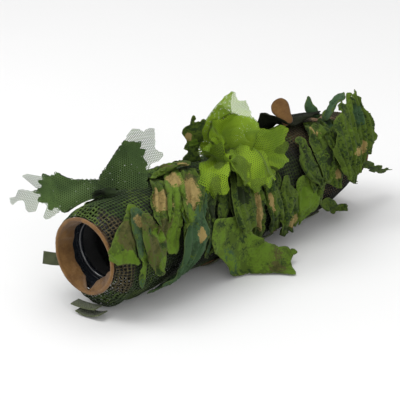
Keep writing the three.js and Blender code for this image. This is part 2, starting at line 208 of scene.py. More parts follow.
def on_net(angle, y, lift=0.0):
    """A point of the net, lift outside it; the angle is in degrees from the top towards +x."""
    turn = np.radians(angle)
    rise = np.cos(turn)
    height = np.where(rise > 0, along(TOP, y), along(BOTTOM, y))
    x = (along(SIDE, y) + lift) * np.sin(turn)
    z = np.maximum(AXIS + (height + lift) * rise, NET_FLOOR - lift)
    return np.stack(np.broadcast_arrays(x, y, z), -1)


def around_axis(turn, radius, y):
    """A point at a turn, in radians from the top, and a radius about the sleeve's axis."""
    return np.stack([radius * np.sin(turn), y, AXIS + radius * np.cos(turn)], -1)


def noise_ring(turn, radius, y):
    """Where noise is read for a round piece, so that it closes on itself."""
    return np.stack([radius * np.sin(turn), y, radius * np.cos(turn)], -1)


def clear_of_net(points, gap):
    """Points that are inside the net, or closer to it than gap, moved out to gap."""
    p = np.array(points, float)
    y = np.clip(p[..., 1], 4, NET_END)
    side = along(SIDE, y) + gap
    height = np.where(p[..., 2] > AXIS, along(TOP, y), along(BOTTOM, y)) + gap
    reach = np.hypot(p[..., 0] / side, (p[..., 2] - AXIS) / height)
    inside = (reach < 1) & (p[..., 1] > 2) & (p[..., 1] < NET_END + 2)
    grow = np.where(inside, 1 / np.maximum(reach, 0.05), 1)
    p[..., 0] *= grow
    p[..., 2] = AXIS + (p[..., 2] - AXIS) * grow
    p[..., 2] = np.maximum(p[..., 2], 0.5)
    return p


ALONG_Y = [(0, 1, 0), (0, 1, 0)]


class Surface:
    """A strip of cloth: a spine from root to tip and the direction of its width along it."""

    def __init__(self, path, sides, curl=(0, 0), gather=(1, 1)):
        self.line = catmull(path, 240)
        steps = np.linalg.norm(np.diff(self.line, axis=0), axis=1)
        self.run = np.concatenate([[0], np.cumsum(steps)])
        self.length = self.run[-1]
        self.tangent = unit(np.gradient(self.line, self.run, axis=0))
        sides = unit(sides)
        q = self.run / self.length
        stations = np.linspace(0, 1, len(sides))
        side = np.stack([np.interp(q, stations, sides[:, i]) for i in range(3)], -1)
        side = side - (side * self.tangent).sum(1, keepdims=True) * self.tangent
        self.side = unit(side)
        self.face = np.cross(self.tangent, self.side)
        self.curl, self.gather = curl, gather

    def at(self, u, v, h=0.0):
        """The place of u across, v along and h off the cloth."""
        u, v = np.asarray(u, float), np.asarray(v, float)
        kept = np.clip(v, 0, self.length)

        def pick(table):
            return np.stack([np.interp(kept, self.run, table[:, i]) for i in range(3)], -1)

        q = np.clip(v / self.length, 0, 1)
        across = u * (self.gather[0] + (self.gather[1] - self.gather[0]) * ramp(q, 0, 0.6))
        bend = self.curl[0] + (self.curl[1] - self.curl[0]) * q
        bend = np.where(np.abs(bend) < 1e-5, 1e-5, bend)
        spine = pick(self.line) + pick(self.tangent) * (v - kept)[..., None]
        wide = (np.sin(bend * across) / bend)[..., None]
        deep = ((1 - np.cos(bend * across)) / bend + h)[..., None]
        return spine + pick(self.side) * wide + pick(self.face) * deep


def net_path(path):
    """Points on the net from (angle, y, lift)."""
    return [on_net(*p) for p in path]


# ------------------------------------------------------------------ mesh building


def mesh_object(name, points, faces, material, uv=None, marks=None):
    """A mesh from millimetre points and a list of index arrays of triangles or quads."""
    faces = [np.asarray(f, np.int64) for f in faces if len(f)]
    corners = np.concatenate([f.ravel() for f in faces])
    sizes = np.concatenate([np.full(len(f), f.shape[1]) for f in faces])
    used, corners = np.unique(corners, return_inverse=True)
    points = row(points)[used]
    mesh = bpy.data.meshes.new(name)
    mesh.vertices.add(len(points))
    mesh.vertices.foreach_set("co", points.astype(np.float32).ravel())
    mesh.loops.add(len(corners))
    mesh.loops.foreach_set("vertex_index", corners.astype(np.int32))
    mesh.polygons.add(len(sizes))
    starts = np.concatenate([[0], np.cumsum(sizes)[:-1]])
    mesh.polygons.foreach_set("loop_start", starts.astype(np.int32))
    mesh.polygons.foreach_set("use_smooth", np.ones(len(sizes), bool))
    if uv is not None:
        layer = mesh.uv_layers.new(name="cloth")
        layer.data.foreach_set("uv", (np.asarray(uv)[used][corners] * MM).astype(np.float32).ravel())
    for mark, values in (marks or {}).items():
        attribute = mesh.attributes.new(mark, "FLOAT", "POINT")
        if np.ndim(values) == 0:
            values = np.full(used[-1] + 1, float(values))
        attribute.data.foreach_set("value", np.asarray(values)[used].astype(np.float32))
    mesh.update(calc_edges=True)
    mesh.validate()
    thing = bpy.data.objects.new(name, mesh)
    scene.collection.objects.link(thing)
    thing.data.materials.append(material)
    return thing


def belongs(thing, body, slot, *nodes):
    """Makes a piece ride its body and hides the CAD nodes that it stands for; the slot is not used."""
    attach(thing, body)
    if nodes:
        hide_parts(*nodes)
    return thing


def cut_size(outline):
    """The smallest rectangle that the cut fits in, as (width, length)."""
    best = None
    for turn in np.radians(np.arange(0, 90, 3)):
        c, s = math.cos(turn), math.sin(turn)
        turned = outline @ np.array([[c, -s], [s, c]])
        size = np.ptp(turned, axis=0)
        if best is None or size[0] * size[1] < best[0] * best[1]:
            best = size
    return sorted(float(x) * MM for x in best)


def mesh_area(thing):
    """Area of a piece's faces in square metres."""
    return float(sum(face.area for face in thing.data.polygons))


def thicken(thing, thickness, offset=0.0):
    modifier = thing.modifiers.new("thickness", "SOLIDIFY")
    modifier.thickness = thickness * MM
    modifier.offset = offset
    modifier.use_even_offset = False
    return thing


def grid_faces(rows, columns, ring_columns=False, ring_rows=False):
    i = np.arange(rows if ring_rows else rows - 1)
    j = np.arange(columns if ring_columns else columns - 1)
    i, j = (x.ravel() for x in np.meshgrid(i, j, indexing="ij"))
    down, across = (i + 1) % rows, (j + 1) % columns
    return np.stack([i * columns + j, i * columns + across, down * columns + across, down * columns + j],
                    -1)


def grid_object(name, place, rows, columns, material, ring=False, size=(1, 1), marks=None, ring_rows=False,
                opening=None):
    """A sheet from place(s, t), s and t from 0 to 1 down its rows and across its columns. Faces whose
    middle is in the opening, given as a test of their points, are left out."""
    s = np.linspace(0, 1, rows, endpoint=not ring_rows)
    t = np.linspace(0, 1, columns, endpoint=not ring)
    s, t = np.meshgrid(s, t, indexing="ij")
    points = place(s, t).reshape(-1, 3)
    uv = np.stack([t.ravel() * size[0], s.ravel() * size[1]], -1)
    marks = {k: f(s, t).ravel() for k, f in (marks or {}).items()}
    faces = grid_faces(rows, columns, ring, ring_rows)
    if opening:
        faces = faces[~opening(points[faces].mean(1))]
    return mesh_object(name, points, [faces], material, uv, marks)


def inside(points, polygon):
    """Which points are inside the polygon."""
    x, y = points[:, 0][:, None], points[:, 1][:, None]
    a, b = polygon, np.roll(polygon, -1, 0)
    crosses = (a[:, 1] > y) != (b[:, 1] > y)
    with np.errstate(divide="ignore", invalid="ignore"):
        where = (b[:, 0] - a[:, 0]) * (y - a[:, 1]) / (b[:, 1] - a[:, 1]) + a[:, 0]
    return ((crosses & (x < where)).sum(1) % 2) == 1


def edge_distance(points, polygon):
    """How far each point is from the nearest side of the polygon."""
    a, b = polygon, np.roll(polygon, -1, 0)
    along_edge = b - a
    square = np.maximum((along_edge**2).sum(1), 1e-9)
    out = np.empty(len(points))
    for start in range(0, len(points), 2000):
        p = points[start : start + 2000]
        t = np.clip(((p[:, None] - a) * along_edge).sum(2) / square, 0, 1)
        near = a + t[..., None] * along_edge
        out[start : start + 2000] = np.sqrt(((p[:, None] - near) ** 2).sum(2).min(1))
    return out


def polygon_area(polygon):
    x, y = polygon[:, 0], polygon[:, 1]
    return abs((x * np.roll(y, -1) - y * np.roll(x, -1)).sum()) / 2


def cut_outline(points, pitch, seed, nibble):
    """A hand-cut outline: smooth lobes through the points, with small irregular scallops."""
    curve = catmull(points, len(points) * 24, closed=True)
    edge = evenly(curve, pitch, closed=True)
    normal = np.roll(edge, -1, 0) - np.roll(edge, 1, 0)
    normal = unit(np.stack([normal[:, 1], -normal[:, 0]], -1))
    wave = cloth_noise(edge[:, 0], edge[:, 1], 5.5, seed) + 0.5 * cloth_noise(edge[:, 0], edge[:, 1], 2.6,
                                                                              seed + 3)
    return edge + normal * (wave * nibble)[:, None]


def fill(outline, pitch):
    """Vertices (outline first) and triangles of a flat cut piece, and each vertex's edge distance."""
    low, high = outline.min(0), outline.max(0)
    step_v = pitch * math.sqrt(3) / 2
    us = np.arange(low[0], high[0] + pitch, pitch)
    vs = np.arange(low[1], high[1] + step_v, step_v)
    u, v = np.meshgrid(us, vs)
    u = u + (np.arange(len(vs)) % 2)[:, None] * pitch / 2
    points = np.stack([u.ravel(), v.ravel()], -1)
    points = points[inside(points, outline)]
    points = points[edge_distance(points, outline) > pitch * 0.55]
    everything = np.vstack([outline, points])
    ring = list(range(len(outline)))
    made = delaunay_2d_cdt([Vector(p) for p in everything], [], [ring], 1, 1e-6)
    flat = np.array([tuple(p) for p in made[0]])
    triangles = np.array([f for f in made[2] if len(f) == 3])
    return flat, triangles, edge_distance(flat, outline)


def ruffle(u, v, edge, seed, height, pleats, lengthwise):
    """How far a loose leaf stands off its surface: folds that run from its root, broad waves,
    sharp creases and a fluttering edge."""
    if lengthwise:
        fold = 1.3 * np.sin(u * 2 * math.pi / 11.5 + 1.8 * cloth_noise(u, v, 36, seed))
        fold = fold * (0.7 + 0.5 * cloth_noise(u, v, 30, seed + 8))
    else:
        fold = np.sin(np.arctan2(u, v + 22) * pleats + 2.4 * cloth_noise(u, v, 34, seed))
    wave = cloth_noise(u, v, 24, seed + 1)
    crease = 1 - np.abs(cloth_noise(u, v, 19, seed + 2)) * 2.2
    crease = np.clip(crease, -0.4, 1) ** 3
    fine = cloth_noise(u, v, 8, seed + 4)
    flutter = cloth_noise(u, v, 12, seed + 5) * np.exp(-edge / 7)
    fold = fold * ramp(v, -5, 22)
    return height * (0.42 * fold + 0.45 * wave + 0.32 * crease + 0.12 * fine + 0.5 * flutter)


# ------------------------------------------------------------------ materials


def linear(*srgb):
    """A display colour, 0 to 255, as the linear colour that a shader takes."""
    values = [c / 255 for c in srgb]
    return tuple(c / 12.92 if c <= 0.04045 else ((c + 0.055) / 1.055) ** 2.4 for c in values) + (1,)


class Shader:
    """A small helper for writing node materials."""

    def __init__(self, name, **constants):
        self.material = bpy.data.materials.new(name)
        self.material.use_nodes = True
        self.tree = self.material.node_tree
        self.surface = self.tree.nodes["Principled BSDF"]
        for key, value in constants.items():
            self.surface.inputs[key.replace("_", " ")].default_value = value

    def node(self, kind, output=0, inputs=None, **settings):
        made = self.tree.nodes.new("ShaderNode" + kind)
        for key, value in settings.items():
            setattr(made, key, value)
        for key, value in (inputs or {}).items():
            self.give(made.inputs[key], value)
        return made.outputs[output]

    def give(self, socket, value):
        if isinstance(value, bpy.types.NodeSocket):
            self.tree.links.new(value, socket)
        else:
            socket.default_value = value

    def sum(self, *values):
        total = values[0]
        for value in values[1:]:
            total = self.node("Math", inputs={0: total, 1: value}, operation="ADD")
        return total

    def times(self, a, b):
        return self.node("Math", inputs={0: a, 1: b}, operation="MULTIPLY")

    def step(self, value, start, end):
        """0 below start, 1 above end and smooth between."""
        limits = {0: value, 1: start, 2: end, 3: 0.0, 4: 1.0}
        return self.node("MapRange", inputs=limits, interpolation_type="SMOOTHSTEP")

    def mix(self, share, a, b):
        return self.node("Mix", 2, {0: share, 6: a, 7: b}, data_type="RGBA")

    def mark(self, name):
        return self.node("Attribute", 2, attribute_name=name, attribute_type="GEOMETRY")

    def uv(self):
        return self.node("UVMap", uv_map="cloth")

    def noise(self, coordinates, scale, detail=2.0, roughness=0.5):
        settings = {"Vector": coordinates, "Scale": scale, "Detail": detail, "Roughness": roughness}
        return self.node("TexNoise", inputs=settings)

    def weave(self, coordinates, threads):
        """Plain weave: two crossed sine waves, threads per metre."""
        split = self.tree.nodes.new("ShaderNodeSeparateXYZ")
        self.tree.links.new(coordinates, split.inputs[0])
        waves = []
        for axis in (0, 1):
            turned = self.times(split.outputs[axis], threads * 2 * math.pi)
            waves.append(self.node("Math", inputs={0: turned}, operation="SINE"))
        return self.times(waves[0], waves[1])

    def finish(self, colour=None, bump=None, distance=0.0004, strength=0.6, roughness=None):
        if colour is not None:
            self.give(self.surface.inputs["Base Color"], colour)
        if roughness is not None:
            self.give(self.surface.inputs["Roughness"], roughness)
        if bump is not None:
            made = self.tree.nodes.new("ShaderNodeBump")
            made.inputs["Strength"].default_value = strength
            made.inputs["Distance"].default_value = distance
            self.tree.links.new(bump, made.inputs["Height"])
            self.tree.links.new(made.outputs[0], self.surface.inputs["Normal"])
        return self.material


# Printed colours, as display values from 0 to 255.
LEAF_MID, LEAF_DARK, LEAF_LIGHT, LEAF_BRIGHT = (66, 84, 26), (38, 54, 22), (78, 98, 30), (84, 110, 30)
LEAF_DEEP, OLIVE, OLIVE_DARK = (28, 38, 16), (74, 74, 38), (58, 62, 28)
TEAL, TEAL_DARK = (54, 78, 50), (42, 62, 38)
TAN_PRINT, TAN_PRINT_DARK = (142, 124, 76), (118, 104, 60)
CUT_EDGE = (96, 110, 50)
SOIL = (40, 48, 24)


def camouflage():
    """Printed cloth: leaf green with darker and lighter blotches whose edges break into grains.
    Marks on the mesh say where a leaf is tan, teal, olive, light or dark."""
    m = Shader("camouflage_cloth", Sheen_Weight=0.03, Sheen_Roughness=0.5, Specular_IOR_Level=0.12)
    uv = m.uv()
    grain = m.node("TexVoronoi", 1, {"Vector": uv, "Scale": 620.0}, feature="F1")
    grain = m.node("SeparateColor", 0, {0: grain})
    speck = m.times(m.sum(grain, -0.5), 0.22)
    broad = m.noise(uv, 52.0, 4.0, 0.6)
    other = m.noise(m.node("VectorMath", 0, {0: uv, 1: (0.7, 0.3, 0)}, operation="ADD"), 70.0, 4.0, 0.6)
    colour = m.mix(m.step(m.sum(other, speck), 0.50, 0.56), linear(*LEAF_MID), linear(*LEAF_DARK))
    colour = m.mix(m.step(m.sum(broad, speck), 0.57, 0.62), colour, linear(*LEAF_LIGHT))
    for mark, shade, second in (
        ("dark", LEAF_DEEP, LEAF_DARK),
        ("olive", OLIVE, OLIVE_DARK),
        ("teal", TEAL, TEAL_DARK),
        ("light", LEAF_BRIGHT, LEAF_LIGHT),
        ("tan", TAN_PRINT, TAN_PRINT_DARK),
    ):
        amount = m.sum(m.mark(mark), m.times(m.sum(broad, -0.5), 1.5), m.times(speck, 1.3))
        two = m.mix(m.step(m.sum(other, speck), 0.53, 0.6), linear(*shade), linear(*second))
        colour = m.mix(m.step(amount, 0.42, 0.54), colour, two)
    fade = m.step(m.mark("edge"), 0.2, 1.0)
    colour = m.mix(m.times(fade, 0.35), colour, linear(*CUT_EDGE))
    soil = m.noise(uv, 19.0, 3.0)
    colour = m.mix(m.times(m.step(soil, 0.5, 0.75), 0.25), colour, linear(*SOIL))
    bump = m.sum(m.times(m.weave(uv, 900), 0.25), m.noise(uv, 260.0, 3.0))
    rough = m.node("MapRange", inputs={0: m.noise(uv, 90.0), 1: 0.3, 2: 0.7, 3: 0.72, 4: 0.9})
    return m.finish(colour, bump, 0.0006, 0.5, rough)


def tan_cloth():
    m = Shader("tan_cloth", Sheen_Weight=0.2, Sheen_Roughness=0.5, Specular_IOR_Level=0.2)
    uv = m.uv()
    mottled = m.noise(uv, 60.0, 4.0)
    fine = m.noise(uv, 500.0, 2.0)
    colour = m.mix(m.step(mottled, 0.35, 0.7), linear(124, 90, 48), linear(96, 66, 32))
    # the dark mark darkens the cloth; on the front cuff it is painted shade deeper in the opening
    colour = m.mix(m.times(m.mark("dark"), 0.6), colour, linear(46, 30, 14))
    colour = m.mix(m.times(m.step(fine, 0.5, 0.8), 0.3), colour, linear(146, 112, 66))
    bump = m.sum(m.weave(uv, 500), m.noise(uv, 300.0, 2.0))
    return m.finish(colour, bump, 0.0004, 0.6, 0.85)


def net_cloth():
    """Knitted mesh, printed in blotches; the brown mark says how brown and faded it is, and the shade mark
    darkens it with painted shade.
    """
    m = Shader("net_cloth", Sheen_Weight=0.04, Sheen_Roughness=0.5, Specular_IOR_Level=0.15)
    uv = m.uv()
    blot = m.noise(uv, 34.0, 4.0, 0.6)
    grain = m.noise(uv, 420.0, 2.0)
    print_edge = m.step(m.sum(blot, m.times(grain, 0.2)), 0.52, 0.62)
    colour = m.mix(print_edge, linear(74, 94, 38), linear(44, 62, 28))
    brown = m.sum(m.mark("brown"), m.times(m.sum(blot, -0.5), 1.2), m.times(m.sum(grain, -0.5), 0.3))
    dusty = m.mix(m.step(grain, 0.4, 0.65), linear(80, 72, 48), linear(48, 42, 28))
    colour = m.mix(m.step(brown, 0.45, 0.62), colour, dusty)
    # painted shade: the shade mark darkens the mesh towards near-black where shade falls
    colour = m.mix(m.mark("shade"), colour, linear(16, 18, 10))
    return m.finish(colour, m.noise(uv, 1400.0, 2.0), 0.0003, 0.5, 0.78)


def tulle(name, light, dark):
    m = Shader(name, Sheen_Weight=0.05, Sheen_Roughness=0.4, Specular_IOR_Level=0.2)
    uv = m.uv()
    colour = m.mix(m.step(m.noise(uv, 40.0, 3.0), 0.35, 0.7), linear(*light), linear(*dark))
    # painted shade: the root mark darkens the strands near a piece's root and in layers that lie behind
    # others
    colour = m.mix(m.mark("root"), colour, linear(*[c * 0.45 for c in dark]))
    return m.finish(colour, m.noise(uv, 900.0), 0.0002, 0.4, 0.6)


def webbing(name, light, dark, ribs):
    m = Shader(name, Sheen_Weight=0.2, Sheen_Roughness=0.5, Specular_IOR_Level=0.25)
    uv = m.uv()
    colour = m.mix(m.step(m.noise(uv, 150.0, 4.0), 0.35, 0.7), linear(*light), linear(*dark))
    rib = m.weave(uv, ribs)
    colour = m.mix(m.step(rib, -0.2, 0.8), colour, linear(*[c * 0.7 for c in dark]))
    return m.finish(colour, m.sum(rib, m.noise(uv, 700.0)), 0.0006, 0.7, 0.82)


def liner_cloth():
    m = Shader("liner_cloth", Sheen_Weight=0.1, Specular_IOR_Level=0.3)
    uv = m.uv()
    colour = m.mix(m.noise(uv, 80.0, 3.0), linear(26, 28, 30), linear(38, 40, 40))
    return m.finish(colour, m.sum(m.weave(uv, 800), m.noise(uv, 120.0)), 0.0005, 0.6, 0.75)


# near-black cloth for the turret flap: partly its own dark colour, partly painted shade of the shadowed gap
# under it
def black_and_shade_cloth():
    m = Shader("black_and_shade_cloth", Sheen_Weight=0.01, Specular_IOR_Level=0.06)
    uv = m.uv()
    colour = m.mix(m.step(m.noise(uv, 70.0, 4.0), 0.35, 0.7), linear(30, 34, 20), linear(12, 14, 9))
    return m.finish(colour, m.sum(m.weave(uv, 700), m.noise(uv, 240.0, 3.0)), 0.0006, 0.7, 0.85)


def gloss_black():
    m = Shader("gloss_black", Specular_IOR_Level=0.7, Coat_Weight=0.5, Coat_Roughness=0.08)
    uv = m.uv()
    colour = m.mix(m.noise(uv, 60.0, 3.0), linear(20, 23, 27), linear(34, 38, 44))
    rough = m.node("MapRange", inputs={0: m.noise(uv, 200.0), 1: 0.3, 2: 0.7, 3: 0.14, 4: 0.3})
    return m.finish(colour, m.noise(uv, 150.0), 0.0002, 0.3, rough)


CAMO = camouflage()
TAN = tan_cloth()
NET = net_cloth()
DARK_TULLE = tulle("dark_tulle", (78, 102, 50), (56, 78, 38))
LIME_TULLE = tulle("lime_tulle", (130, 160, 30), (96, 126, 16))
WEBBING = webbing("webbing", (84, 92, 58), (62, 70, 42), 420)
HOOK_LOOP = webbing("hook_and_loop", (48, 52, 38), (34, 38, 28), 900)
LINER = liner_cloth()
GLOSS = gloss_black()
BLACK_AND_SHADE = black_and_shade_cloth()

# ------------------------------------------------------------------ floor

FLOOR_HALF, FLOOR_DROP = 12, 0.0004


def pale_floor():
    material = Shader("floor", Specular_IOR_Level=0.1)
    grain = material.noise(material.node("TexCoord", 3), 3.0)
    colour = material.mix(grain, (0.725, 0.725, 0.725, 1), (0.745, 0.745, 0.745, 1))
    mesh = bpy.data.meshes.new("floor")
    corners = [(x * FLOOR_HALF, y * FLOOR_HALF, -FLOOR_DROP) for x,
               y in ((-1, -1), (1, -1), (1, 1), (-1, 1))]
    mesh.from_pydata(corners, [], [(0, 1, 2, 3)])
    mesh.materials.append(material.finish(colour, roughness=0.9))
    made = bpy.data.objects.new("floor", mesh)
    scene.collection.objects.link(made)
    return made


floor = pale_floor()

# ------------------------------------------------------------------ the net sleeve

CELL = 3.75  # pitch of the mesh
AROUND = 82  # holes round the girth
NET_HOLE = 0.37  # radius of a hole in cells
TURNS = np.linspace(0, 360, 721)


def turn_table():
    """Angles that divide the net's girth into equal lengths."""
    ring = on_net(TURNS, np.full(len(TURNS), 150.0))
    run = np.concatenate([[0], np.cumsum(np.linalg.norm(np.diff(ring, axis=0), axis=1))])
    return run / run[-1]


GIRTH_SHARE = turn_table()


def net_slack(angle, y):
    """The slack net's folds: pleats at the rims, rings of slack near the front, broad waves."""
    t, y = np.broadcast_arrays(np.radians(angle), y)
    p = noise_ring(t, 50, y)
    wave = 2.0 * noise(p / 30, 11) + 0.9 * noise(p / np.array([13, 24, 13]), 12)
    ends = ramp(y, 4, 16) * ramp(NET_END - y, 0, 14)
    gathered = np.sin(26 * t + 3 * noise(p / 40, 13)) * np.exp(-((y - 9) / 8) ** 2) * 0.8
    rings = 1.3 * np.sin((y - 6) / 4.4 + 2.2 * noise(p / 28, 14))
    rings = rings * np.exp(-((y - 34) / 22) ** 2) * ramp(-np.cos(t), -0.4, 0.7)
    return (wave + rings) * ends + gathered


def net_panel(name, start, end, first=0.0, last=1.0):
    """One panel of real mesh: a ring of quads round every hole, and the hole's inner wall."""
    columns = int(round(AROUND * (last - first)))
    rows = int(round((end - start) / CELL))
    whole = last - first > 0.999

    def place(a, b, lift):
        share = first + (last - first) * a / columns
        angle = np.interp(share % 1.0 if whole else share, GIRTH_SHARE, TURNS)
        y = start + (end - start) * b / rows
        skew = 0.25 * noise(np.stack([a / 9, b / 9, np.zeros_like(a)], -1), 15) * CELL
        return on_net(angle, y + skew * ramp(b, 0, 3) * ramp(rows - b, 0, 3), net_slack(angle, y) + lift)

    i, j = np.meshgrid(np.arange(rows), np.arange(columns), indexing="ij")
    stride = columns if whole else columns + 1
    corner_a, corner_b = np.meshgrid(np.arange(stride), np.arange(rows + 1))
    mid_a, mid_b = np.meshgrid(np.arange(columns), np.arange(rows + 1))
    side_a, side_b = np.meshgrid(np.arange(stride), np.arange(rows))
    blocks = [
        (corner_a.ravel().astype(float), corner_b.ravel().astype(float), 0),
        (mid_a.ravel() + 0.5, mid_b.ravel().astype(float), 0),
        (side_a.ravel().astype(float), side_b.ravel() + 0.5, 0),
    ]
    starts = np.concatenate([[0], np.cumsum([len(b[0]) for b in blocks])])
    hole = np.radians(np.arange(8) * 45 - 135)
    reach = np.where(np.arange(8) % 2 == 0, NET_HOLE * 1.22, NET_HOLE)
    centre_a, centre_b = j.ravel() + 0.5, i.ravel() + 0.5
    loose = 1 + 0.18 * noise(np.stack([centre_a / 1.7, centre_b / 1.7, np.zeros(len(centre_a))], -1), 16)
    hole_a = centre_a[:, None] + reach * np.cos(hole) * loose[:, None]
    hole_b = centre_b[:, None] + reach * np.sin(hole) * loose[:, None]
    for depth in (-0.15, -0.75):
        blocks.append((hole_a.ravel(), hole_b.ravel(), depth))
    points = np.vstack([place(a, b, lift) for a, b, lift in blocks])
    a_all = np.concatenate([b[0] for b in blocks])
    b_all = np.concatenate([b[1] for b in blocks])
    uv = np.stack([a_all * CELL + 1000 * (start > 200), start + b_all * CELL], -1)

    j1 = (j + 1) % stride
    outer = np.stack([
        i * stride + j,
        starts[1] + i * columns + j,
        i * stride + j1,
        starts[2] + i * stride + j1,
        (i + 1) * stride + j1,
        starts[1] + (i + 1) * columns + j,
        (i + 1) * stride + j,
        starts[2] + i * stride + j,
    ], -1).reshape(-1, 8)
    cells = rows * columns
    rim = starts[3] + np.arange(cells * 8).reshape(cells, 8)
    low = rim + cells * 8
    outer_next, rim_next, low_next = (np.roll(x, -1, 1) for x in (outer, rim, low))
    face = np.stack([outer, outer_next, rim_next, rim], -1).reshape(-1, 4)
    wall = np.stack([rim, rim_next, low_next, low], -1).reshape(-1, 4)
    y = points[:, 1]
    turn = np.arctan2(points[:, 0], points[:, 2] - AXIS)
    front = np.exp(-((y - 10) / 20) ** 2) * ramp(np.cos(turn - 1.2), -0.2, 0.9)
    rear = ramp(y, 250, 285) * 0.95
    brown = np.clip(0.15 + 0.55 * front + 0.5 * rear, 0, 1)
    # painted shade: darker on the underside, among the leaves and at the rear, and full black on the holes'
    # inner walls
    shade_among_leaves = ramp(np.sin(turn), 0.35, 0.75) * ramp(y, 50, 80) * ramp(390 - y, 0, 30)
    shade = 0.1 + 0.35 * ramp(-np.cos(turn), 0.2, 0.9) + 0.55 * shade_among_leaves + 0.3 * rear
    shade = np.clip(np.where(np.arange(len(y)) >= starts[3] + cells * 8, 1.0, shade), 0, 1)
    thing = mesh_object(name + "_mesh", points, [face, wall], NET, uv, {"brown": brown, "shade": shade})
    belongs(thing, "sleeve", "net_mesh", name)


net_panel("front_net", 4, 140)
SLOT_SHARE = float(np.interp(155, TURNS, GIRTH_SHARE))
net_panel("middle_net", 140.4, 262, SLOT_SHARE - 1, SLOT_SHARE)
net_panel("rear_net", 262.4, 396)

# ------------------------------------------------------------------ bindings, cuffs and liner


TAPE_RADIUS, TAPE_HALF = 36.6, 1.95  # middle of the roll, and half its height
STITCHES = 72


def rolled_tape(name, node, y_start, y_end, seed):
    """Tape folded over the rim: a full, slightly uneven roll with pinched stitches."""
    mid, half = (y_start + y_end) / 2, (y_end - y_start) / 2

    def place(s, t):
        turn, round_it = 2 * math.pi * s, 2 * math.pi * t
        p = noise_ring(turn, 40, np.full(turn.shape, seed * 9.0))
        swell = 1 + 0.10 * noise(p / 9, seed) + 0.05 * noise(p / 3, seed + 1)
        stitch = 0.5 + 0.5 * np.cos(turn * STITCHES)
        pinch = 1 - 0.10 * np.exp(-((np.abs(np.cos(round_it)) - 1) / 0.25) ** 2) * stitch
        wander = 0.5 * noise(p / 25, seed + 2)
        radius = TAPE_RADIUS + 0.35 * noise(p / 30, seed + 3) + TAPE_HALF * swell * pinch * np.cos(round_it)
        across = np.sin(round_it)
        y = mid + wander * 0.6 + (half - 0.3) * swell * np.sign(across) * np.abs(across) ** 0.8
        return around_axis(turn, radius, y)

    thing = grid_object(name, place, 360, 28, TAN, ring=True, size=(12, 230), ring_rows=True,
                        marks={"dark": lambda s, t: 0.35 * (np.sin(2 * math.pi * t) > 0.75)})
    belongs(thing, "sleeve", "tan_cloth", node)


rolled_tape("front_binding_tape", "front_binding", 0, 4, 21)
rolled_tape("rear_binding_tape", "rear_binding", 396, 400, 31)

# Free edge of the front cuff by angle from the top towards +x: depth behind the rim and radius.
CUFF_EDGE = [(-188, 2, 33.8), (-163, 10, 26), (-140, 13, 27), (-110, 14, 28), (-72, 16, 29),
             (-50, 16, 31), (0, 14, 31), (50, 12, 31), (100, 10, 29), (133, 10, 25), (160, 8, 26),
             (172, 2, 33.8)]


CUFF_ROOT, CUFF_START = 35.4, 1.2  # radius and depth where the cuff is sewn in


def front_cuff():
    angles, depths, radii = zip(*CUFF_EDGE)

    def place(s, t):
        turn = angles[0] + 360 * t
        depth, radius = np.interp(turn, angles, depths), np.interp(turn, angles, radii)
        p = np.stack([turn / 17, s * 2, np.zeros_like(s)], -1)
        pull = 0.9 * noise(p, 41) + 0.5 * noise(p * 2.3, 42)
        pleat = 0.8 * np.sin(np.radians(turn) * 11 + 2 * noise(p / 2, 43)) * s
        r = CUFF_ROOT + (radius - CUFF_ROOT) * s**1.3 + (pull + pleat) * ramp(s, 0, 0.5) * 0.7
        y = CUFF_START + (depth - CUFF_START) * s + pull * s
        return around_axis(np.radians(turn), r, y)

    # painted shade: the cuff is darkened towards its free edge, deeper in the opening
    thing = grid_object("front_cuff_cloth", place, 26, 220, TAN, size=(230, 16),
                        marks={"dark": lambda s, t: 0.15 + 0.5 * s})
    thicken(thing, 0.7)
    belongs(thing, "sleeve", "tan_cloth", "front_cuff")
    width, depth, area = 0.230, 0.016, mesh_area(thing)
    area = area if area < width * depth else None


front_cuff()


SLOT_HALF_ANGLE, SLOT_START, SLOT_END = 28, 143, 259
REAR_CUFF_RADIUS = 38.6


def mount_slot(points):
    """The slot under the middle of the sleeve, for the scope's rings."""
    turn = np.degrees(np.arctan2(points[:, 0], AXIS - points[:, 2]))
    return (np.abs(turn) < SLOT_HALF_ANGLE) & (points[:, 1] > SLOT_START) & (points[:, 1] < SLOT_END)


def tube(name, node, material, slot, stations, seed, slack, size, sag=0.0):
    """A tube of cloth about the axis through (y, radius) stations; sag lowers its underside where
    it is wide."""
    ys, radii = zip(*stations)

    def place(s, t):
        y = ys[0] + (ys[-1] - ys[0]) * s
        turn = 2 * math.pi * t
        p = noise_ring(turn, 35, y)
        fold = noise(p / 14, seed) + 0.5 * noise(p / np.array([6, 16, 6]), seed + 1)
        r = np.interp(y, ys, radii) + slack * fold * ramp(s, 0, 0.08) * ramp(1 - s, 0, 0.08)
        height = r * np.cos(turn)
        height = np.where(height < 0, height * (1 + sag * ramp(r, REAR_CUFF_RADIUS, 41)), height)
        return np.stack([r * np.sin(turn), y, AXIS + height], -1)

    rows = int((ys[-1] - ys[0]) / 2) + 6
    thing = grid_object(name, place, rows, 120, material, ring=True, size=size,
                        marks={"dark": lambda s, t: 0.2 + 0 * s}, opening=mount_slot)
    thicken(thing, 0.6)
    belongs(thing, "sleeve", slot, node)
    return thing


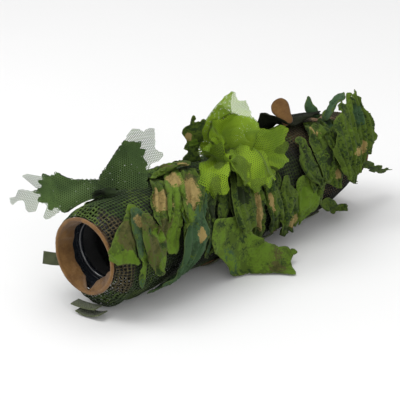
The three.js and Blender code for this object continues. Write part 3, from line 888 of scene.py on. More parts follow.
for name, node, stations in (
    ("front_liner_cloth", "front_liner", [(29.6, 31), (48, 33), (58, 42), (199, 42)]),
    ("rear_liner_cloth", "rear_liner", [(203, 42), (282, 42), (293, 33), (370, 31)]),
):
    length = stations[-1][0] - stations[0][0]
    made = tube(name, node, LINER, "liner_cloth", stations, 51, 0.9, (264, length))
rear_cuff = [(296, REAR_CUFF_RADIUS), (304, 42.5), (352, 42.5), (384, REAR_CUFF_RADIUS), (395, 36)]
made = tube("rear_cuff_cloth", "rear_cuff", TAN, "tan_cloth", rear_cuff, 61, 0.5, (240, 99), sag=0.16)


HOOP_RADIUS, HOOP_THICK, HOOP_HALF_LENGTH = 29.6, 1.9, 2.6
SKIRT_RADIUS, SKIRT_FLARE, SKIRT_LENGTH = 31.4, 4.2, 17


def liner_ring(name, node, y, inward):
    """The black ring that the liner is turned over, with its glossy skirt towards the rim."""

    def place(s, t):
        turn, round_it = 2 * math.pi * s, 2 * math.pi * t
        r = HOOP_RADIUS + HOOP_THICK * np.cos(round_it)
        return around_axis(turn, r, y + 2.5 + HOOP_HALF_LENGTH * np.sin(round_it))

    thing = grid_object(name, place, 180, 16, GLOSS, ring=True, ring_rows=True, size=(12, 190))
    belongs(thing, "sleeve", "liner_ring", node)

    def skirt(s, t):
        turn = 2 * math.pi * t
        p = np.stack([20 * np.sin(turn), 20 * np.cos(turn), s * 4], -1)
        r = SKIRT_RADIUS + SKIRT_FLARE * s**2 + 0.5 * noise(p / 5, 71) * s
        return around_axis(turn, r, y + (2 if inward > 0 else 3) - inward * SKIRT_LENGTH * s)

    lip = grid_object(name + "_skirt", skirt, 14, 160, GLOSS, ring=True, size=(200, 18))
    thicken(lip, 0.5)
    belongs(lip, "sleeve", "liner_ring")


liner_ring("front_liner_hoop", "front_liner_ring", 24, 1)
liner_ring("rear_liner_hoop", "rear_liner_ring", 371, -1)

# ------------------------------------------------------------------ straps and tapes


RIB_PITCH, YARN_PITCH = 2.2, 1.8
DEGREE_LENGTH = 0.85  # of the net's girth


def band(name, node, material, slot, angles, ys, lift, thickness, rib=0.18):
    """Webbing that follows the net between two angles and two stations, ribbed across."""
    arc = abs(angles[1] - angles[0]) * DEGREE_LENGTH
    rows, columns = max(8, int(arc / 0.9)), max(8, int((ys[1] - ys[0]) / 0.9))

    def place(s, t):
        angle = angles[0] + (angles[1] - angles[0]) * s
        y = ys[0] + (ys[1] - ys[0]) * t
        yarns = np.cos(t * (ys[1] - ys[0]) * math.pi / YARN_PITCH)
        ribs = rib * np.sin(s * arc * 2 * math.pi / RIB_PITCH) * yarns
        selvage = -0.25 * (np.abs(t - 0.5) > 0.46)
        return on_net(angle, y, lift + thickness / 2 + ribs + selvage)

    thing = grid_object(name, place, rows, columns, material, size=(ys[1] - ys[0], arc),
                        marks={"dark": lambda s, t: 0.5 * (np.abs(t - 0.5) > 0.45)})
    thicken(thing, thickness * 0.8)
    belongs(thing, "sleeve", slot, node)


for side, angles in (("right", (146, 154.5)), ("left", (-154.5, -146))):
    band(f"slot_tape_{side}", f"slot_binding_{side}", TAN, "tan_cloth", angles, (144, 258), 0.4, 0.8, 0.08)
for name, y in (("front", 156), ("rear", 222)):
    band(f"{name}_belly_webbing", f"{name}_belly_strap", WEBBING, "webbing",
         (140, 220), (y, y + 24), 1.9, 1.5)
    band(f"{name}_belly_hooks", f"{name}_belly_hook_patch", HOOK_LOOP, "hook_loop", (127, 138.5),
         (y + 3, y + 21), 0.4, 2, 0.3)
band("rear_floor_webbing", "rear_floor_strap", WEBBING, "webbing", (160, 200), (318, 342), 1.9, 1.5)


def loose_strap(name, node, path, sides, width, thickness):
    """Webbing that stands free of the net; its caller attaches it, if at all."""
    surface = Surface(path, sides)
    rows, columns = max(10, int(surface.length / 0.8)), max(8, int(width / 0.8))

    def place(s, t):
        u, v = (t - 0.5) * width, s * surface.length
        ribs = 0.16 * np.sin(v * 2 * math.pi / RIB_PITCH) * np.cos(u * math.pi / YARN_PITCH)
        return surface.at(u, v, ribs)

    thing = grid_object(name, place, rows, columns, WEBBING, size=(width, surface.length))
    thicken(thing, thickness * 0.85)
    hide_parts(node)
    return thing


for part, path, width in (
    ("upper", [[15, 4, 10.5], [6, 3, 9], [-5, 2, 8.5], [-14, 1, 9]], 12),
    ("lower", [[20, 5, 6], [12, 4, 3], [2, 3, 1.6], [-8, 2, 3.4]], 14),
):
    fold = loose_strap(f"strap_fold_{part}", f"front_strap_{part}_fold", path, ALONG_Y, width, 1.4)
    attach(fold, "sleeve")
tail_path = [[-42.4, 12, 41], [-50, 9, 40], [-60, 5, 40]]
tail_sides = [(0, 0.2, 1), (0, 0.3, 1)]
tail_piece = loose_strap("strap_tail_webbing", "front_strap_tail", tail_path, tail_sides, 12.5, 1.4)
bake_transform(tail_piece)

# ------------------------------------------------------------------ leaves of printed cloth

LEAF_PITCH = 1.9
LEAF_GAP = 1.2  # between a leaf's middle and the net, where it is placed
FULLNESS = 1.55  # a strip is cut this much wider than its place, for the pleats
FAR_WIDER = 1.7
PLEATS = 9
EDGE_PITCH, NIBBLE, FRAY = 1.6, 0.7, 0.9
SEAM = 9  # how far from its root a leaf is held
MARKS = ("tan", "teal", "olive", "light", "dark")
LEAVES = []


def lying(*path):
    """A surface that lies on the net through (angle, y, lift), with its width along the sleeve."""
    return Surface(net_path(path), ALONG_Y)


def cut(surface, outline, seed=1, height=3.0, base=None, spots=(), gather=(0.66, 0.86)):
    """One cut strip of printed cloth on its surface: flat shape, place and printed marks.
    Spots are (mark, u, v, radius u, radius v)."""
    edge_line = cut_outline(outline, EDGE_PITCH, seed, NIBBLE)
    flat, triangles, edge = fill(edge_line, LEAF_PITCH)
    u, v = flat[:, 0], flat[:, 1]
    surface.gather = gather
    points = surface.at(u, v, ruffle(u, v, edge, seed, height, PLEATS, gather[0] < 1))
    marks = {k: np.zeros(len(flat)) for k in MARKS}
    for mark, amount in (base or {}).items():
        marks[mark] = np.full(len(flat), float(amount))
    for mark, su, sv, ru, rv in spots:
        near = np.exp(-(((u - su) / ru) ** 2 + ((v - sv) / rv) ** 2))
        marks[mark] = np.maximum(marks[mark], near * 1.15)
    marks["edge"] = np.exp(-edge / FRAY)
    shift = np.array([(seed * 137) % 900, (seed * 311) % 700])
    hold = np.clip(1 - v / SEAM, 0, 1)
    return {"flat": flat, "uv": flat + shift, "points": points, "triangles": triangles, "marks": marks,
            "area": polygon_area(edge_line), "edge": edge_line, "hold": hold}


def leaf(name, *parts, soft=0.12):
    """A leaf of one or more cut strips sewn on together; soft is how firmly the cloth run keeps its
    place beyond the seam, from 0 to 1."""
    LEAVES.append({"name": name, "parts": parts, "soft": soft})


def strip(path, widths, seed=1, **look):
    """A lobed strip that lies on the net, with its full widths at even steps from its root."""
    surface = lying(*path)
    steps = np.linspace(0, 1, len(widths))
    right = [(w * FULLNESS / 2, t * surface.length) for w, t in zip(widths, steps)]
    left = [(-u, v) for u, v in right]
    return cut(surface, right + left[::-1], seed=seed, **look)


leaf("front_side_leaf",
     cut(lying([24, 50, 2], [48, 38, 3], [72, 28, 4], [90, 23, 6]),
         [(-7, 2), (0, 0), (1, 10), (-5, 23), (-8, 32), (-7, 41), (-5, 55), (-1, 65), (-19, 65),
          (-36, 65), (-47, 61), (-43, 54), (-33, 46), (-23, 30), (-17, 20), (-11, 9)],
         seed=3, height=1.6, base={"light": 0.12},
         spots=[("olive", -15, 38, 10, 15), ("light", -24, 62, 30, 9), ("light", -3, 4, 6, 10)],
         gather=(1, 1)),
     strip([[30, 46, 3], [50, 38, 5], [70, 31, 7], [90, 28, 8], [112, 30, 8]],
           (9, 17, 18, 15, 14, 9, 6, 3), seed=23, base={"teal": 0.6},
           spots=[("light", 0, 62, 14, 14), ("tan", 0, 16, 9, 7)]))
leaf("olive_side_leaf",
     strip([[42, 50, 5], [62, 44, 8], [82, 41, 10], [106, 45, 10]], (8, 17, 20, 20, 15, 7), seed=4,
           base={"olive": 0.55}, spots=[("light", 9, 26, 7, 9), ("light", 6, 58, 8, 9)]))
leaf("tan_print_band",
     strip([[2, 100, 3], [33, 77, 5], [54, 63, 7], [80, 50, 8]], (11, 14, 20, 21, 19, 13, 6), seed=5,
           height=4, base={"tan": 0.1}, spots=[("tan", 0, 38, 14, 18), ("olive", 2, 70, 14, 10)]),
     strip([[-8, 131, 4], [30, 101, 6], [56, 82, 8], [94, 66, 8]], (12, 16, 18, 17, 17, 15, 9), seed=25,
           height=4, base={"light": 0.6}, spots=[("tan", 0, 30, 12, 13)]),
     strip([[4, 144, 4], [38, 119, 6], [62, 99, 8], [86, 80, 8]], (12, 17, 20, 20, 18, 13, 5), seed=26,
           height=4.5, base={"tan": 0.1},
           spots=[("tan", 0, 46, 12, 24), ("olive", 0, 24, 9, 10), ("light", 0, 80, 9, 10)]))
leaf("teal_drape",
     cut(Surface([(47, 104, 88), (56, 97, 72), (60, 90, 54), (54, 81, 36), (44, 67, 22), (31, 52, 11)],
                 [(0, 1, 0.1), (-0.1, 1, 0.2)]),
         [(-12, -4), (-3, -6), (2, 0), (9, -8), (16, -4), (15, 8), (23, 20), (20, 32), (24, 44),
          (19, 58), (20, 70), (12, 80), (10, 90), (2, 98), (-4, 104), (-7, 92), (-13, 82), (-11, 70),
          (-17, 58), (-15, 46), (-20, 32), (-16, 18), (-19, 8)],
         seed=6, height=4.5, base={"teal": 0.7},
         spots=[("olive", 2, 78, 12, 9), ("tan", 8, 24, 6, 8), ("light", -8, 6, 9, 9)],
         gather=(0.85, 0.9)),
     soft=0.3)
leaf("top_crest_leaf",
     cut(Surface(net_path([[-26, 136, 3], [-24, 116, 5], [-22, 96, 6], [-18, 76, 3]]),
                 [(1, 0, 0.2), (1, 0, 0.2)]),
         [(-9, 0), (6, -2), (15, 10), (12, 22), (19, 32), (12, 44), (6, 58), (-2, 62), (-8, 50),
          (-14, 40), (-9, 26), (-15, 12)],
         seed=7, height=4, base={"dark": 0.5}),
     cut(Surface(net_path([[-4, 148, 5], [-4, 128, 8], [-4, 110, 7], [-2, 92, 3]]),
                 [(1, 0, 0.1), (1, 0, 0.1)]),
         [(-9, 0), (9, -2), (16, 12), (12, 26), (17, 38), (9, 52), (0, 60), (-9, 50), (-15, 38),
          (-10, 24), (-15, 12)],
         seed=27, height=4, base={"light": 0.35}, spots=[("tan", 6, 10, 9, 7), ("olive", 0, 26, 9, 9)]))
leaf("jagged_crest_leaf",
     cut(Surface([(-20, 150, 109), (-22, 149, 126), (-16, 149, 142), (-8, 152, 158)],
                 [(0.7, 0.7, 0), (0.6, 0.8, 0)]),
         [(8, -1), (15, 6), (10, 11), (13, 24), (6, 33), (7, 41), (10, 46), (6, 56), (10, 55), (14, 50),
          (20, 57), (24, 53), (24, 44), (31, 29), (26, 3), (25, -6)],
         seed=8, height=2.5, base={"dark": 0.35},
         spots=[("light", 22, 20, 6, 10), ("tan", 14, 30, 4, 6)], gather=(1, 1)),
     soft=0.3)
leaf("dark_side_strip",
     strip([[40, 134, 4], [64, 118, 7], [86, 104, 9], [108, 101, 9]], (8, 13, 15, 13, 15, 13, 7),
           seed=9, height=4, base={"teal": 0.6, "dark": 0.1}),
     strip([[44, 146, 4], [72, 126, 7], [92, 121, 9], [114, 118, 9]], (8, 13, 13, 14, 12, 7), seed=29,
           height=4, base={"dark": 0.6}, spots=[("teal", 0, 60, 9, 16)]),
     strip([[40, 164, 3], [70, 146, 6], [94, 134, 8], [114, 130, 9]], (8, 13, 14, 13, 13, 7), seed=39,
           height=4, base={"dark": 0.35}),
     # this strip lies under the others, and its near-black print is partly painted shade in the gaps
     # between them
     strip([[34, 186, 2], [58, 178, 3], [84, 168, 4], [106, 160, 5]], (14, 24, 30, 28, 16), seed=49,
           height=3, base={"dark": 0.95}, gather=(0.9, 0.9)))
leaf("ground_flap",
     cut(Surface([(58, 166, 58), (60, 172, 38.5), (62, 182, 22), (72, 198, 12), (84, 216, 6)],
                 [(0, 1, 0.1), (0.1, 0.85, 0.45), (0.26, 0.66, 0.7), (-0.2, 0.75, 0.5),
                  (-0.62, 0.78, 0.16)]),
         [(-36, -26), (-18, -18), (-2, -11), (7, 7), (6, 16), (14, 31), (14, 48), (17, 69), (22, 84),
          (16, 91), (7, 83), (-6, 81), (-20, 81), (-17, 67), (-19, 52), (-26, 42), (-35, 35), (-34, 28),
          (-38, 17), (-51, -2)],
         seed=10, height=4.0, base={"light": 0.5},
         spots=[("olive", -8, 66, 9, 11), ("olive", 8, 64, 9, 10), ("teal", -32, 24, 12, 16)],
         gather=(1, 1)),
     strip([[38, 186, 4], [60, 174, 9], [80, 166, 14], [98, 170, 17]], (12, 22, 26, 27, 24, 13),
           seed=45, height=4, base={"light": 0.25}, spots=[("dark", 0, 30, 14, 10)]),
     soft=0.25)
leaf("gathered_side_leaf",
     strip([[54, 202, 4], [76, 195, 7], [98, 197, 9], [120, 206, 9]], (10, 20, 20, 22, 18, 9), seed=11,
           height=4.5, base={"tan": 0.12}, spots=[("tan", 0, 40, 9, 22)]),
     strip([[60, 221, 5], [82, 216, 8], [104, 221, 9], [124, 232, 9]], (10, 17, 18, 17, 16, 9), seed=41,
           height=4.5, base={"dark": 0.25}, spots=[("tan", -4, 26, 5, 12)]))
leaf("tan_spot_leaf",
     strip([[66, 244, 5], [92, 242, 8], [112, 248, 10], [132, 258, 9]], (10, 20, 22, 23, 25, 15),
           seed=12, height=4.5, base={"light": 0.3}, spots=[("tan", 4, 58, 12, 9)]),
     strip([[44, 232, 3], [70, 228, 5], [96, 230, 7], [114, 236, 8]], (9, 15, 15, 16, 14, 8), seed=43,
           height=4, base={"dark": 0.4}))
leaf("bright_side_leaf",
     strip([[74, 268, 5], [98, 271, 8], [114, 276, 10], [132, 282, 9]], (12, 28, 30, 23, 17, 9),
           seed=13, height=3.5, base={"light": 0.65}),
     strip([[50, 284, 3], [76, 286, 5], [98, 290, 6], [116, 296, 7]], (9, 18, 20, 18, 15, 8), seed=44,
           height=4, base={"light": 0.2}))
leaf("bright_rear_leaf",
     cut(lying([44, 318, 2], [66, 320, 3], [90, 324, 4], [108, 330, 5]),
         [(0, -18), (16, -19), (29, -8), (37, 0), (27, 16), (19, 32), (18, 52), (7, 59), (-8, 55),
          (-21, 40), (-33, 29), (-49, 20), (-52, 14), (-34, 14), (-11, 5)],
         seed=14, height=4, base={"light": 0.35}, spots=[("tan", -2, 40, 8, 6)]),
     strip([[12, 330, 3], [36, 318, 6], [60, 314, 8], [80, 306, 9], [94, 304, 9]],
           (14, 26, 30, 30, 28, 24, 12), seed=46, height=5, base={"light": 0.3},
           spots=[("tan", -6, 22, 7, 7), ("dark", 4, 54, 9, 12)]),
     strip([[14, 352, 3], [40, 342, 6], [66, 342, 9], [88, 345, 10]], (14, 26, 30, 30, 24, 14), seed=47,
           height=5, base={"light": 0.15}, spots=[("tan", 6, 40, 8, 7), ("teal", 0, 10, 9, 9)]),
     strip([[30, 292, 4], [52, 284, 7], [70, 280, 9], [92, 290, 9]], (9, 15, 18, 17, 14, 8), seed=48,
           height=5, base={"dark": 0.35}))
leaf("big_rear_leaf",
     cut(Surface([(59, 356, 34), (61, 360, 64), (52, 368, 98), (32, 376, 134)],
                 [(0, 1, 0), (-0.1, 1, 0), (-0.2, 0.97, -0.1)]),
         [(-53, 80), (-37, 88), (-47, 94), (-33, 100), (-21, 97), (-18, 109), (-8, 108), (2, 105),
          (14, 115), (16, 107), (25, 99), (29, 89), (36, 79), (37, 69), (30, 66), (34, 59), (23, 52),
          (23, 43), (11, 37), (4, 28), (-2, 22), (-13, 19), (-19, 15), (-6, 6), (-22, 14), (-32, 10),
          (-53, 17), (-68, 31), (-65, 48), (-54, 64)],
         seed=15, height=4.5, base={"light": 0.2},
         spots=[("tan", -18, 44, 7, 6), ("tan", 2, 48, 6, 8), ("teal", 0, 84, 12, 13)]),
     soft=0.2)
leaf("pointed_top_leaf",
     cut(Surface([(2, 350, 107), (-2, 348, 114), (-6, 349, 121), (-9, 352, 128)],
                 [(0.9, 0.3, 0), (0.8, 0.6, 0)]),
         [(-7, -2), (7, -2), (9, 6), (6, 12), (4, 17), (0, 24), (-5, 18), (-9, 10)], seed=16,
         height=1.2, base={"dark": 0.4, "teal": 0.6}),
     soft=0.4)
leaf("rear_top_leaf",
     cut(Surface([(18, 346, 109), (16, 354, 117), (14, 368, 123), (10, 384, 127)],
                 [(0.9, -0.4, 0.2), (0.9, -0.4, 0.2)]),
         [(-8, 0), (8, -2), (14, 8), (11, 18), (15, 28), (9, 38), (2, 46), (-5, 40), (-12, 32),
          (-9, 20), (-14, 10)],
         seed=17, height=2, base={"teal": 0.6}),
     soft=0.3)
leaf("oak_tail_leaf",
     cut(Surface([(47, 380, 58), (44, 400, 45), (42, 420, 35), (41, 438, 30)],
                 [(0.8, 0, 0.5), (0.8, 0, 0.5)]),
         [(-6, 0), (6, 0), (9, 12), (6, 20), (11, 30), (6, 37), (11, 46), (5, 54), (6, 62), (-3, 64),
          (-10, 55), (-6, 44), (-12, 35), (-6, 26), (-10, 14)],
         seed=18, height=1.5, base={"dark": 0.3}),
     soft=0.4)
leaf("rear_tail_leaf",
     cut(lying([118, 312, 3], [126, 328, 4], [134, 344, 5], [138, 360, 6]),
         [(-7, 0), (7, 0), (10, 14), (7, 26), (12, 38), (4, 52), (-4, 52), (-10, 40), (-6, 26),
          (-11, 14)],
         seed=19, height=2, base={"dark": 0.2}))

OAK = [(-9, 0), (9, 0), (17, 12), (12, 24), (21, 36), (14, 48), (22, 62), (13, 76), (6, 92), (-3, 96),
       (-9, 80), (-19, 70), (-14, 56), (-22, 42), (-14, 30), (-19, 14)]
MAPLE = [(-10, 0), (10, 0), (18, 16), (13, 26), (24, 30), (21, 44), (27, 56), (15, 60), (19, 76),
         (7, 80), (2, 98), (-6, 84), (-18, 80), (-14, 64), (-27, 58), (-20, 46), (-24, 32), (-13, 28),
         (-18, 14)]
FAR_LEAVES = (("far_front_leaf", 62, 3, OAK, {"light": 0.2}),
              ("far_olive_leaf", 112, 3, MAPLE, {"olive": 0.45}),
              ("far_middle_leaf", 166, 4, OAK, {"light": 0.4}),
              ("far_teal_leaf", 222, 3, MAPLE, {"teal": 0.6}),
              ("far_rear_leaf", 300, 4, OAK, {"tan": 0.3}),
              ("far_tail_leaf", 354, 3, MAPLE, {"dark": 0.5}),)
for count, (name, y, lift, outline, base) in enumerate(FAR_LEAVES):
    path = [[-44, y, lift], [-72, y + 3, lift + 2], [-100, y - 2, lift + 5], [-124, y + 2, lift + 8]]
    under = [[-30, y + 22, lift], [-62, y + 25, lift], [-92, y + 20, lift + 2], [-116, y + 24, lift + 4]]
    leaf(name, cut(lying(*path), [(u * FAR_WIDER, v) for u, v in outline], seed=30 + count, height=4.5,
                   base=base),
         strip(under, (10, 20, 25, 24, 26, 20, 9), seed=60 + count, height=4, base={"dark": 0.35},
               spots=[("tan", 5, 40, 8, 12)] if count % 2 else ()))
leaf("far_ground_flap",
     cut(Surface([(-60, 258, 52), (-62, 258, 32), (-70, 258, 15), (-82, 256, 5.5), (-95, 254, 2)],
                 [(0, 1, 0), (0.1, 1, 0)]),
         [(x, y * 0.78) for x, y in MAPLE], seed=40, height=2))

CLOTH_SCALE = 10.0  # the cloth run is made ten times as large, which suits the solver's distances
GROWTH = 0.05  # how much larger the cloth is than its place
CLOTH_FRAMES = 16
FURTHEST = 14  # millimetres that the run may move a point


def crumple(points, flat, triangles, hold):
    """Lets the leaves buckle: their cloth is a little larger than the place it is sewn into, so it
    folds between its stitches and against the net, the ground and its neighbours."""
    mesh = bpy.data.meshes.new("cloth_run")
    mesh.from_pydata((row(points) * CLOTH_SCALE).tolist(), [], triangles.tolist())
    thing = bpy.data.objects.new("cloth_run", mesh)
    scene.collection.objects.link(thing)
    thing.shape_key_add(name="placed")
    key = thing.shape_key_add(name="cut")
    laid = np.column_stack([flat, np.zeros(len(flat))]) * MM * CLOTH_SCALE * (1 + GROWTH)
    key.data.foreach_set("co", laid.astype(np.float32).ravel())
    group = thing.vertex_groups.new(name="hold")
    levels = np.round(hold, 2)
    for level in np.unique(levels):
        group.add(np.nonzero(levels == level)[0].tolist(), float(level), "REPLACE")
    cloth = thing.modifiers.new("cloth", "CLOTH")
    settings, touch = cloth.settings, cloth.collision_settings
    settings.quality = 5
    settings.mass = 0.06
    settings.tension_stiffness = settings.compression_stiffness = 14
    settings.shear_stiffness = 8
    settings.bending_stiffness = 0.25
    settings.tension_damping = settings.compression_damping = settings.shear_damping = 6
    settings.air_damping = 2
    settings.vertex_group_mass = "hold"
    settings.pin_stiffness = 1.0
    settings.rest_shape_key = key
    settings.effector_weights.gravity = 0.25
    touch.use_collision = True
    touch.distance_min = 0.010
    touch.use_self_collision = True
    touch.self_distance_min = 0.009
    touch.collision_quality = 2

    def obstacle(name, place, rows, columns, ring):
        block = grid_object(name, place, rows, columns, CAMO, ring=ring)
        block.data.transform(Matrix.Scale(CLOTH_SCALE, 4))
        block.modifiers.new("hit", "COLLISION")
        block.collision.thickness_outer = 0.006
        block.collision.thickness_inner = 0.05
        return block

    def body(s, t):
        return on_net(360 * t, 4 + 392 * s, 0.6)

    def ground(s, t):
        return np.stack([-400 + 800 * t, -200 + 800 * s, 0 * s + 0.2], -1)

    blocks = [obstacle("net_block", body, 60, 72, True), obstacle("ground_block", ground, 4, 4, False)]
    scene.frame_start, scene.frame_end = 1, CLOTH_FRAMES
    cloth.point_cache.frame_start, cloth.point_cache.frame_end = 1, CLOTH_FRAMES
    for number in range(1, CLOTH_FRAMES + 1):
        scene.frame_set(number)
    shaped = thing.evaluated_get(bpy.context.evaluated_depsgraph_get())
    out = np.empty(len(points) * 3, np.float32)
    shaped.data.vertices.foreach_get("co", out)
    out = (out.reshape(-1, 3) / CLOTH_SCALE - ORIGIN) / MM
    for item in [thing, *blocks]:
        bpy.data.objects.remove(item)
    scene.frame_set(1)
    moved = out - points
    far = np.linalg.norm(moved, axis=1, keepdims=True)
    return points + moved * np.minimum(1, FURTHEST / np.maximum(far, 1e-6))


LEAST_SHARE = 0.301  # of a leaf's rectangle that its cut has to fill


def sew_leaves():
    """Places every leaf, lets the cloth run crumple them together and makes their pieces."""
    parts = [(entry, part) for entry in LEAVES for part in entry["parts"]]
    placed, triangles, hold, base = [], [], [], 0
    for entry, part in parts:
        placed.append(clear_of_net(part["points"], LEAF_GAP))
        triangles.append(part["triangles"] + base)
        hold.append(np.clip(part["hold"] + entry["soft"], 0, 1))
        base += len(part["points"])
    everything = np.vstack(placed)
    flat = np.vstack([part["flat"] for _, part in parts])
    everything = crumple(everything, flat, np.vstack(triangles), np.concatenate(hold))
    start = 0
    for entry, part in parts:
        part["points"] = clear_of_net(everything[start : start + len(part["points"])], 0.9)
        start += len(part["points"])
    for entry in LEAVES:
        parts = entry["parts"]
        starts = np.concatenate([[0], np.cumsum([len(p["points"]) for p in parts])])
        marks = {k: np.concatenate([p["marks"][k] for p in parts]) for k in parts[0]["marks"]}
        thing = mesh_object(
            entry["name"] + "_cloth", np.vstack([p["points"] for p in parts]),
            [np.vstack([p["triangles"] + s for p, s in zip(parts, starts)])], CAMO,
            np.vstack([p["uv"] for p in parts]), marks)
        thicken(thing, 0.4)
        belongs(thing, "sleeve", "camo_cloth", entry["name"])
        length = max(cut_size(p["edge"])[1] for p in parts)
        area = sum(p["area"] for p in parts) * MM * MM
        width = max(sum(cut_size(p["edge"])[0] for p in parts), 1.001 * area / length)
        area = max(area, LEAST_SHARE * width * length)


sew_leaves()

# ------------------------------------------------------------------ turret flap and pull tab


def turret_flap():
    def place(s, t):
        tear = noise(np.stack([t * 9, s * 13, 0 * s + 7], -1), 92)
        curl = ramp(0.42 - s, 0, 0.42) * ramp(t, 0.3, 1)
        angle = -34 + 50 * t + 3.2 * tear * ramp(t, 0.6, 1) - 21 * curl
        y = 270.5 + 70 * s + 2.4 * tear * (ramp(s, 0.8, 1) + ramp(0.2 - s, 0, 0.2))
        p = np.stack([t * 4, s * 6, 0 * s], -1)
        rise = 2.6 + 6.5 * t + 2.2 * noise(p, 91) * ramp(t, 0, 0.3) + 5.0 * ramp(t, 0.45,
                                                                                 1) * (s - 0.45) ** 2 * 2
        rise = rise + ramp(t, 0.55, 1) * (2.0 + 2.0 * tear) + 11 * curl
        return on_net(angle, y, rise)

    thing = grid_object("turret_flap_cloth", place, 80, 44, BLACK_AND_SHADE, size=(40, 71))
    thicken(thing, 1.2)
    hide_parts("turret_flap")
    start, end = (tuple(row(on_net(angle, 305, 3))) for angle in (-34, -24))
    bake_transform(thing)


turret_flap()


def pull_tab():
    base = on_net(8, 297, 8.6)
    path = [base + (0, 0, 0.6), base + (-5, -4, 13.5), base + (-12, -9, 27)]
    surface = Surface(path, [(0.3, 1, 0), (0.55, 0.83, 0)])
    half = [(5, 0), (7, 9), (9.6, 17), (9.8, 22), (6.5, 27.5)]
    outline = [(-5, 0)] + half + [(0, 29.5)] + [(-u, v) for u, v in half[:0:-1]]
    edge_line = cut_outline(outline, 1.0, 95, 0.15)
    flat, triangles, edge = fill(edge_line, 1.0)
    u, v = flat[:, 0], flat[:, 1]
    points = surface.at(u, v, 0.8 * cloth_noise(u, v, 12, 96))
    dark = 0.8 * np.exp(-edge / 0.7) + 0.3 * ramp(12 - v, 0, 12)
    thing = mesh_object("pull_tab_cloth", points, [triangles], TAN, flat, {"dark": dark})
    thicken(thing, 1.3)
    belongs(thing, "pull_tab", "tan_cloth", "pull_tab")


pull_tab()

# ------------------------------------------------------------------ tulle: wings and lime flower


def honeycomb(outline, pitch, strand):
    """Hexagonal netting cut to an outline: flat vertices, strands as quads and joints as triangles."""
    low, high = outline.min(0) - pitch, outline.max(0) + pitch
    rise = pitch * math.sqrt(3) / 2
    rows = int((high[1] - low[1]) / rise) + 2
    lean = rows // 2 + 1
    columns = int((high[0] - low[0]) / pitch) + lean + 2
    i, j = np.meshgrid(np.arange(columns), np.arange(rows), indexing="ij")
    a_x, a_y = low[0] + (i - lean) * pitch + j * pitch / 2, low[1] + j * rise
    centres = [np.stack([a_x, a_y], -1), np.stack([a_x, a_y + pitch / math.sqrt(3)], -1)]
    kept = [inside(c.reshape(-1, 2), outline).reshape(columns, rows) for c in centres]
    links = ((0, 0), (0, -1), (1, -1))

    def shifted(mask, di, dj):
        """The grid moved by whole cells, with zeros where nothing moves in."""
        out = np.zeros_like(mask)
        src_i = slice(max(di, 0), mask.shape[0] + min(di, 0))
        dst_i = slice(max(-di, 0), mask.shape[0] + min(-di, 0))
        src_j = slice(max(dj, 0), mask.shape[1] + min(dj, 0))
        dst_j = slice(max(-dj, 0), mask.shape[1] + min(-dj, 0))
        out[dst_i, dst_j] = mask[src_i, src_j]
        return out

    for _ in range(3):  # joints with fewer than two strands are cut away
        for side, sign in ((0, 1), (1, -1)):
            degree = sum(shifted(kept[1 - side], sign * di, sign * dj).astype(int) for di, dj in links)
            kept[side] = kept[side] & (degree > 1)
    radius = strand / math.sqrt(3)
    corners = ((30, 150, 270), (90, 210, 330))
    points, numbers = [], []
    total = 0
    for side in (0, 1):
        number = np.full((columns, rows), -1)
        number[kept[side]] = total + 3 * np.arange(kept[side].sum())
        total += 3 * int(kept[side].sum())
        numbers.append(number)
        around = [math.radians(a) for a in corners[side]]
        offsets = np.array([(math.cos(a), math.sin(a)) for a in around]) * radius
        points.append((centres[side][kept[side]][:, None] + offsets).reshape(-1, 2))
    # corner indices as (A right, B right, B left, A left) for the three strands of an A joint
    turns = ((0, 2, 1, 1), (1, 0, 2, 2), (2, 1, 0, 0))
    quads = []
    for (di, dj), (ar, br, bl, al) in zip(links, turns):
        other = shifted(numbers[1] + 1, di, dj) - 1
        both = (numbers[0] >= 0) & (other >= 0)
        a, b = numbers[0][both], other[both]
        quads.append(np.stack([a + ar, b + br, b + bl, a + al], -1))
    joints = np.arange(total).reshape(-1, 3)
    return np.vstack(points), np.vstack(quads), joints


TULLE_PITCH = 1.8
SHEER_STRAND = 0.62
DENSE_STRAND = 0.92
LAYER_TURN = 19  # degrees between the grids of two layers, so that their holes do not line up


def flat_area(flat, faces):
    """Area of many flat faces that have the same number of corners."""
    p = flat[faces]
    x, y = p[..., 0], p[..., 1]
    return float(np.abs((x * np.roll(y, -1, 1) - y * np.roll(x, -1, 1)).sum(1)).sum() / 2)


def shrunk(outline, across, down):
    """The outline scaled across and along its surface."""
    return [(u * across, v * down) for u, v in outline]


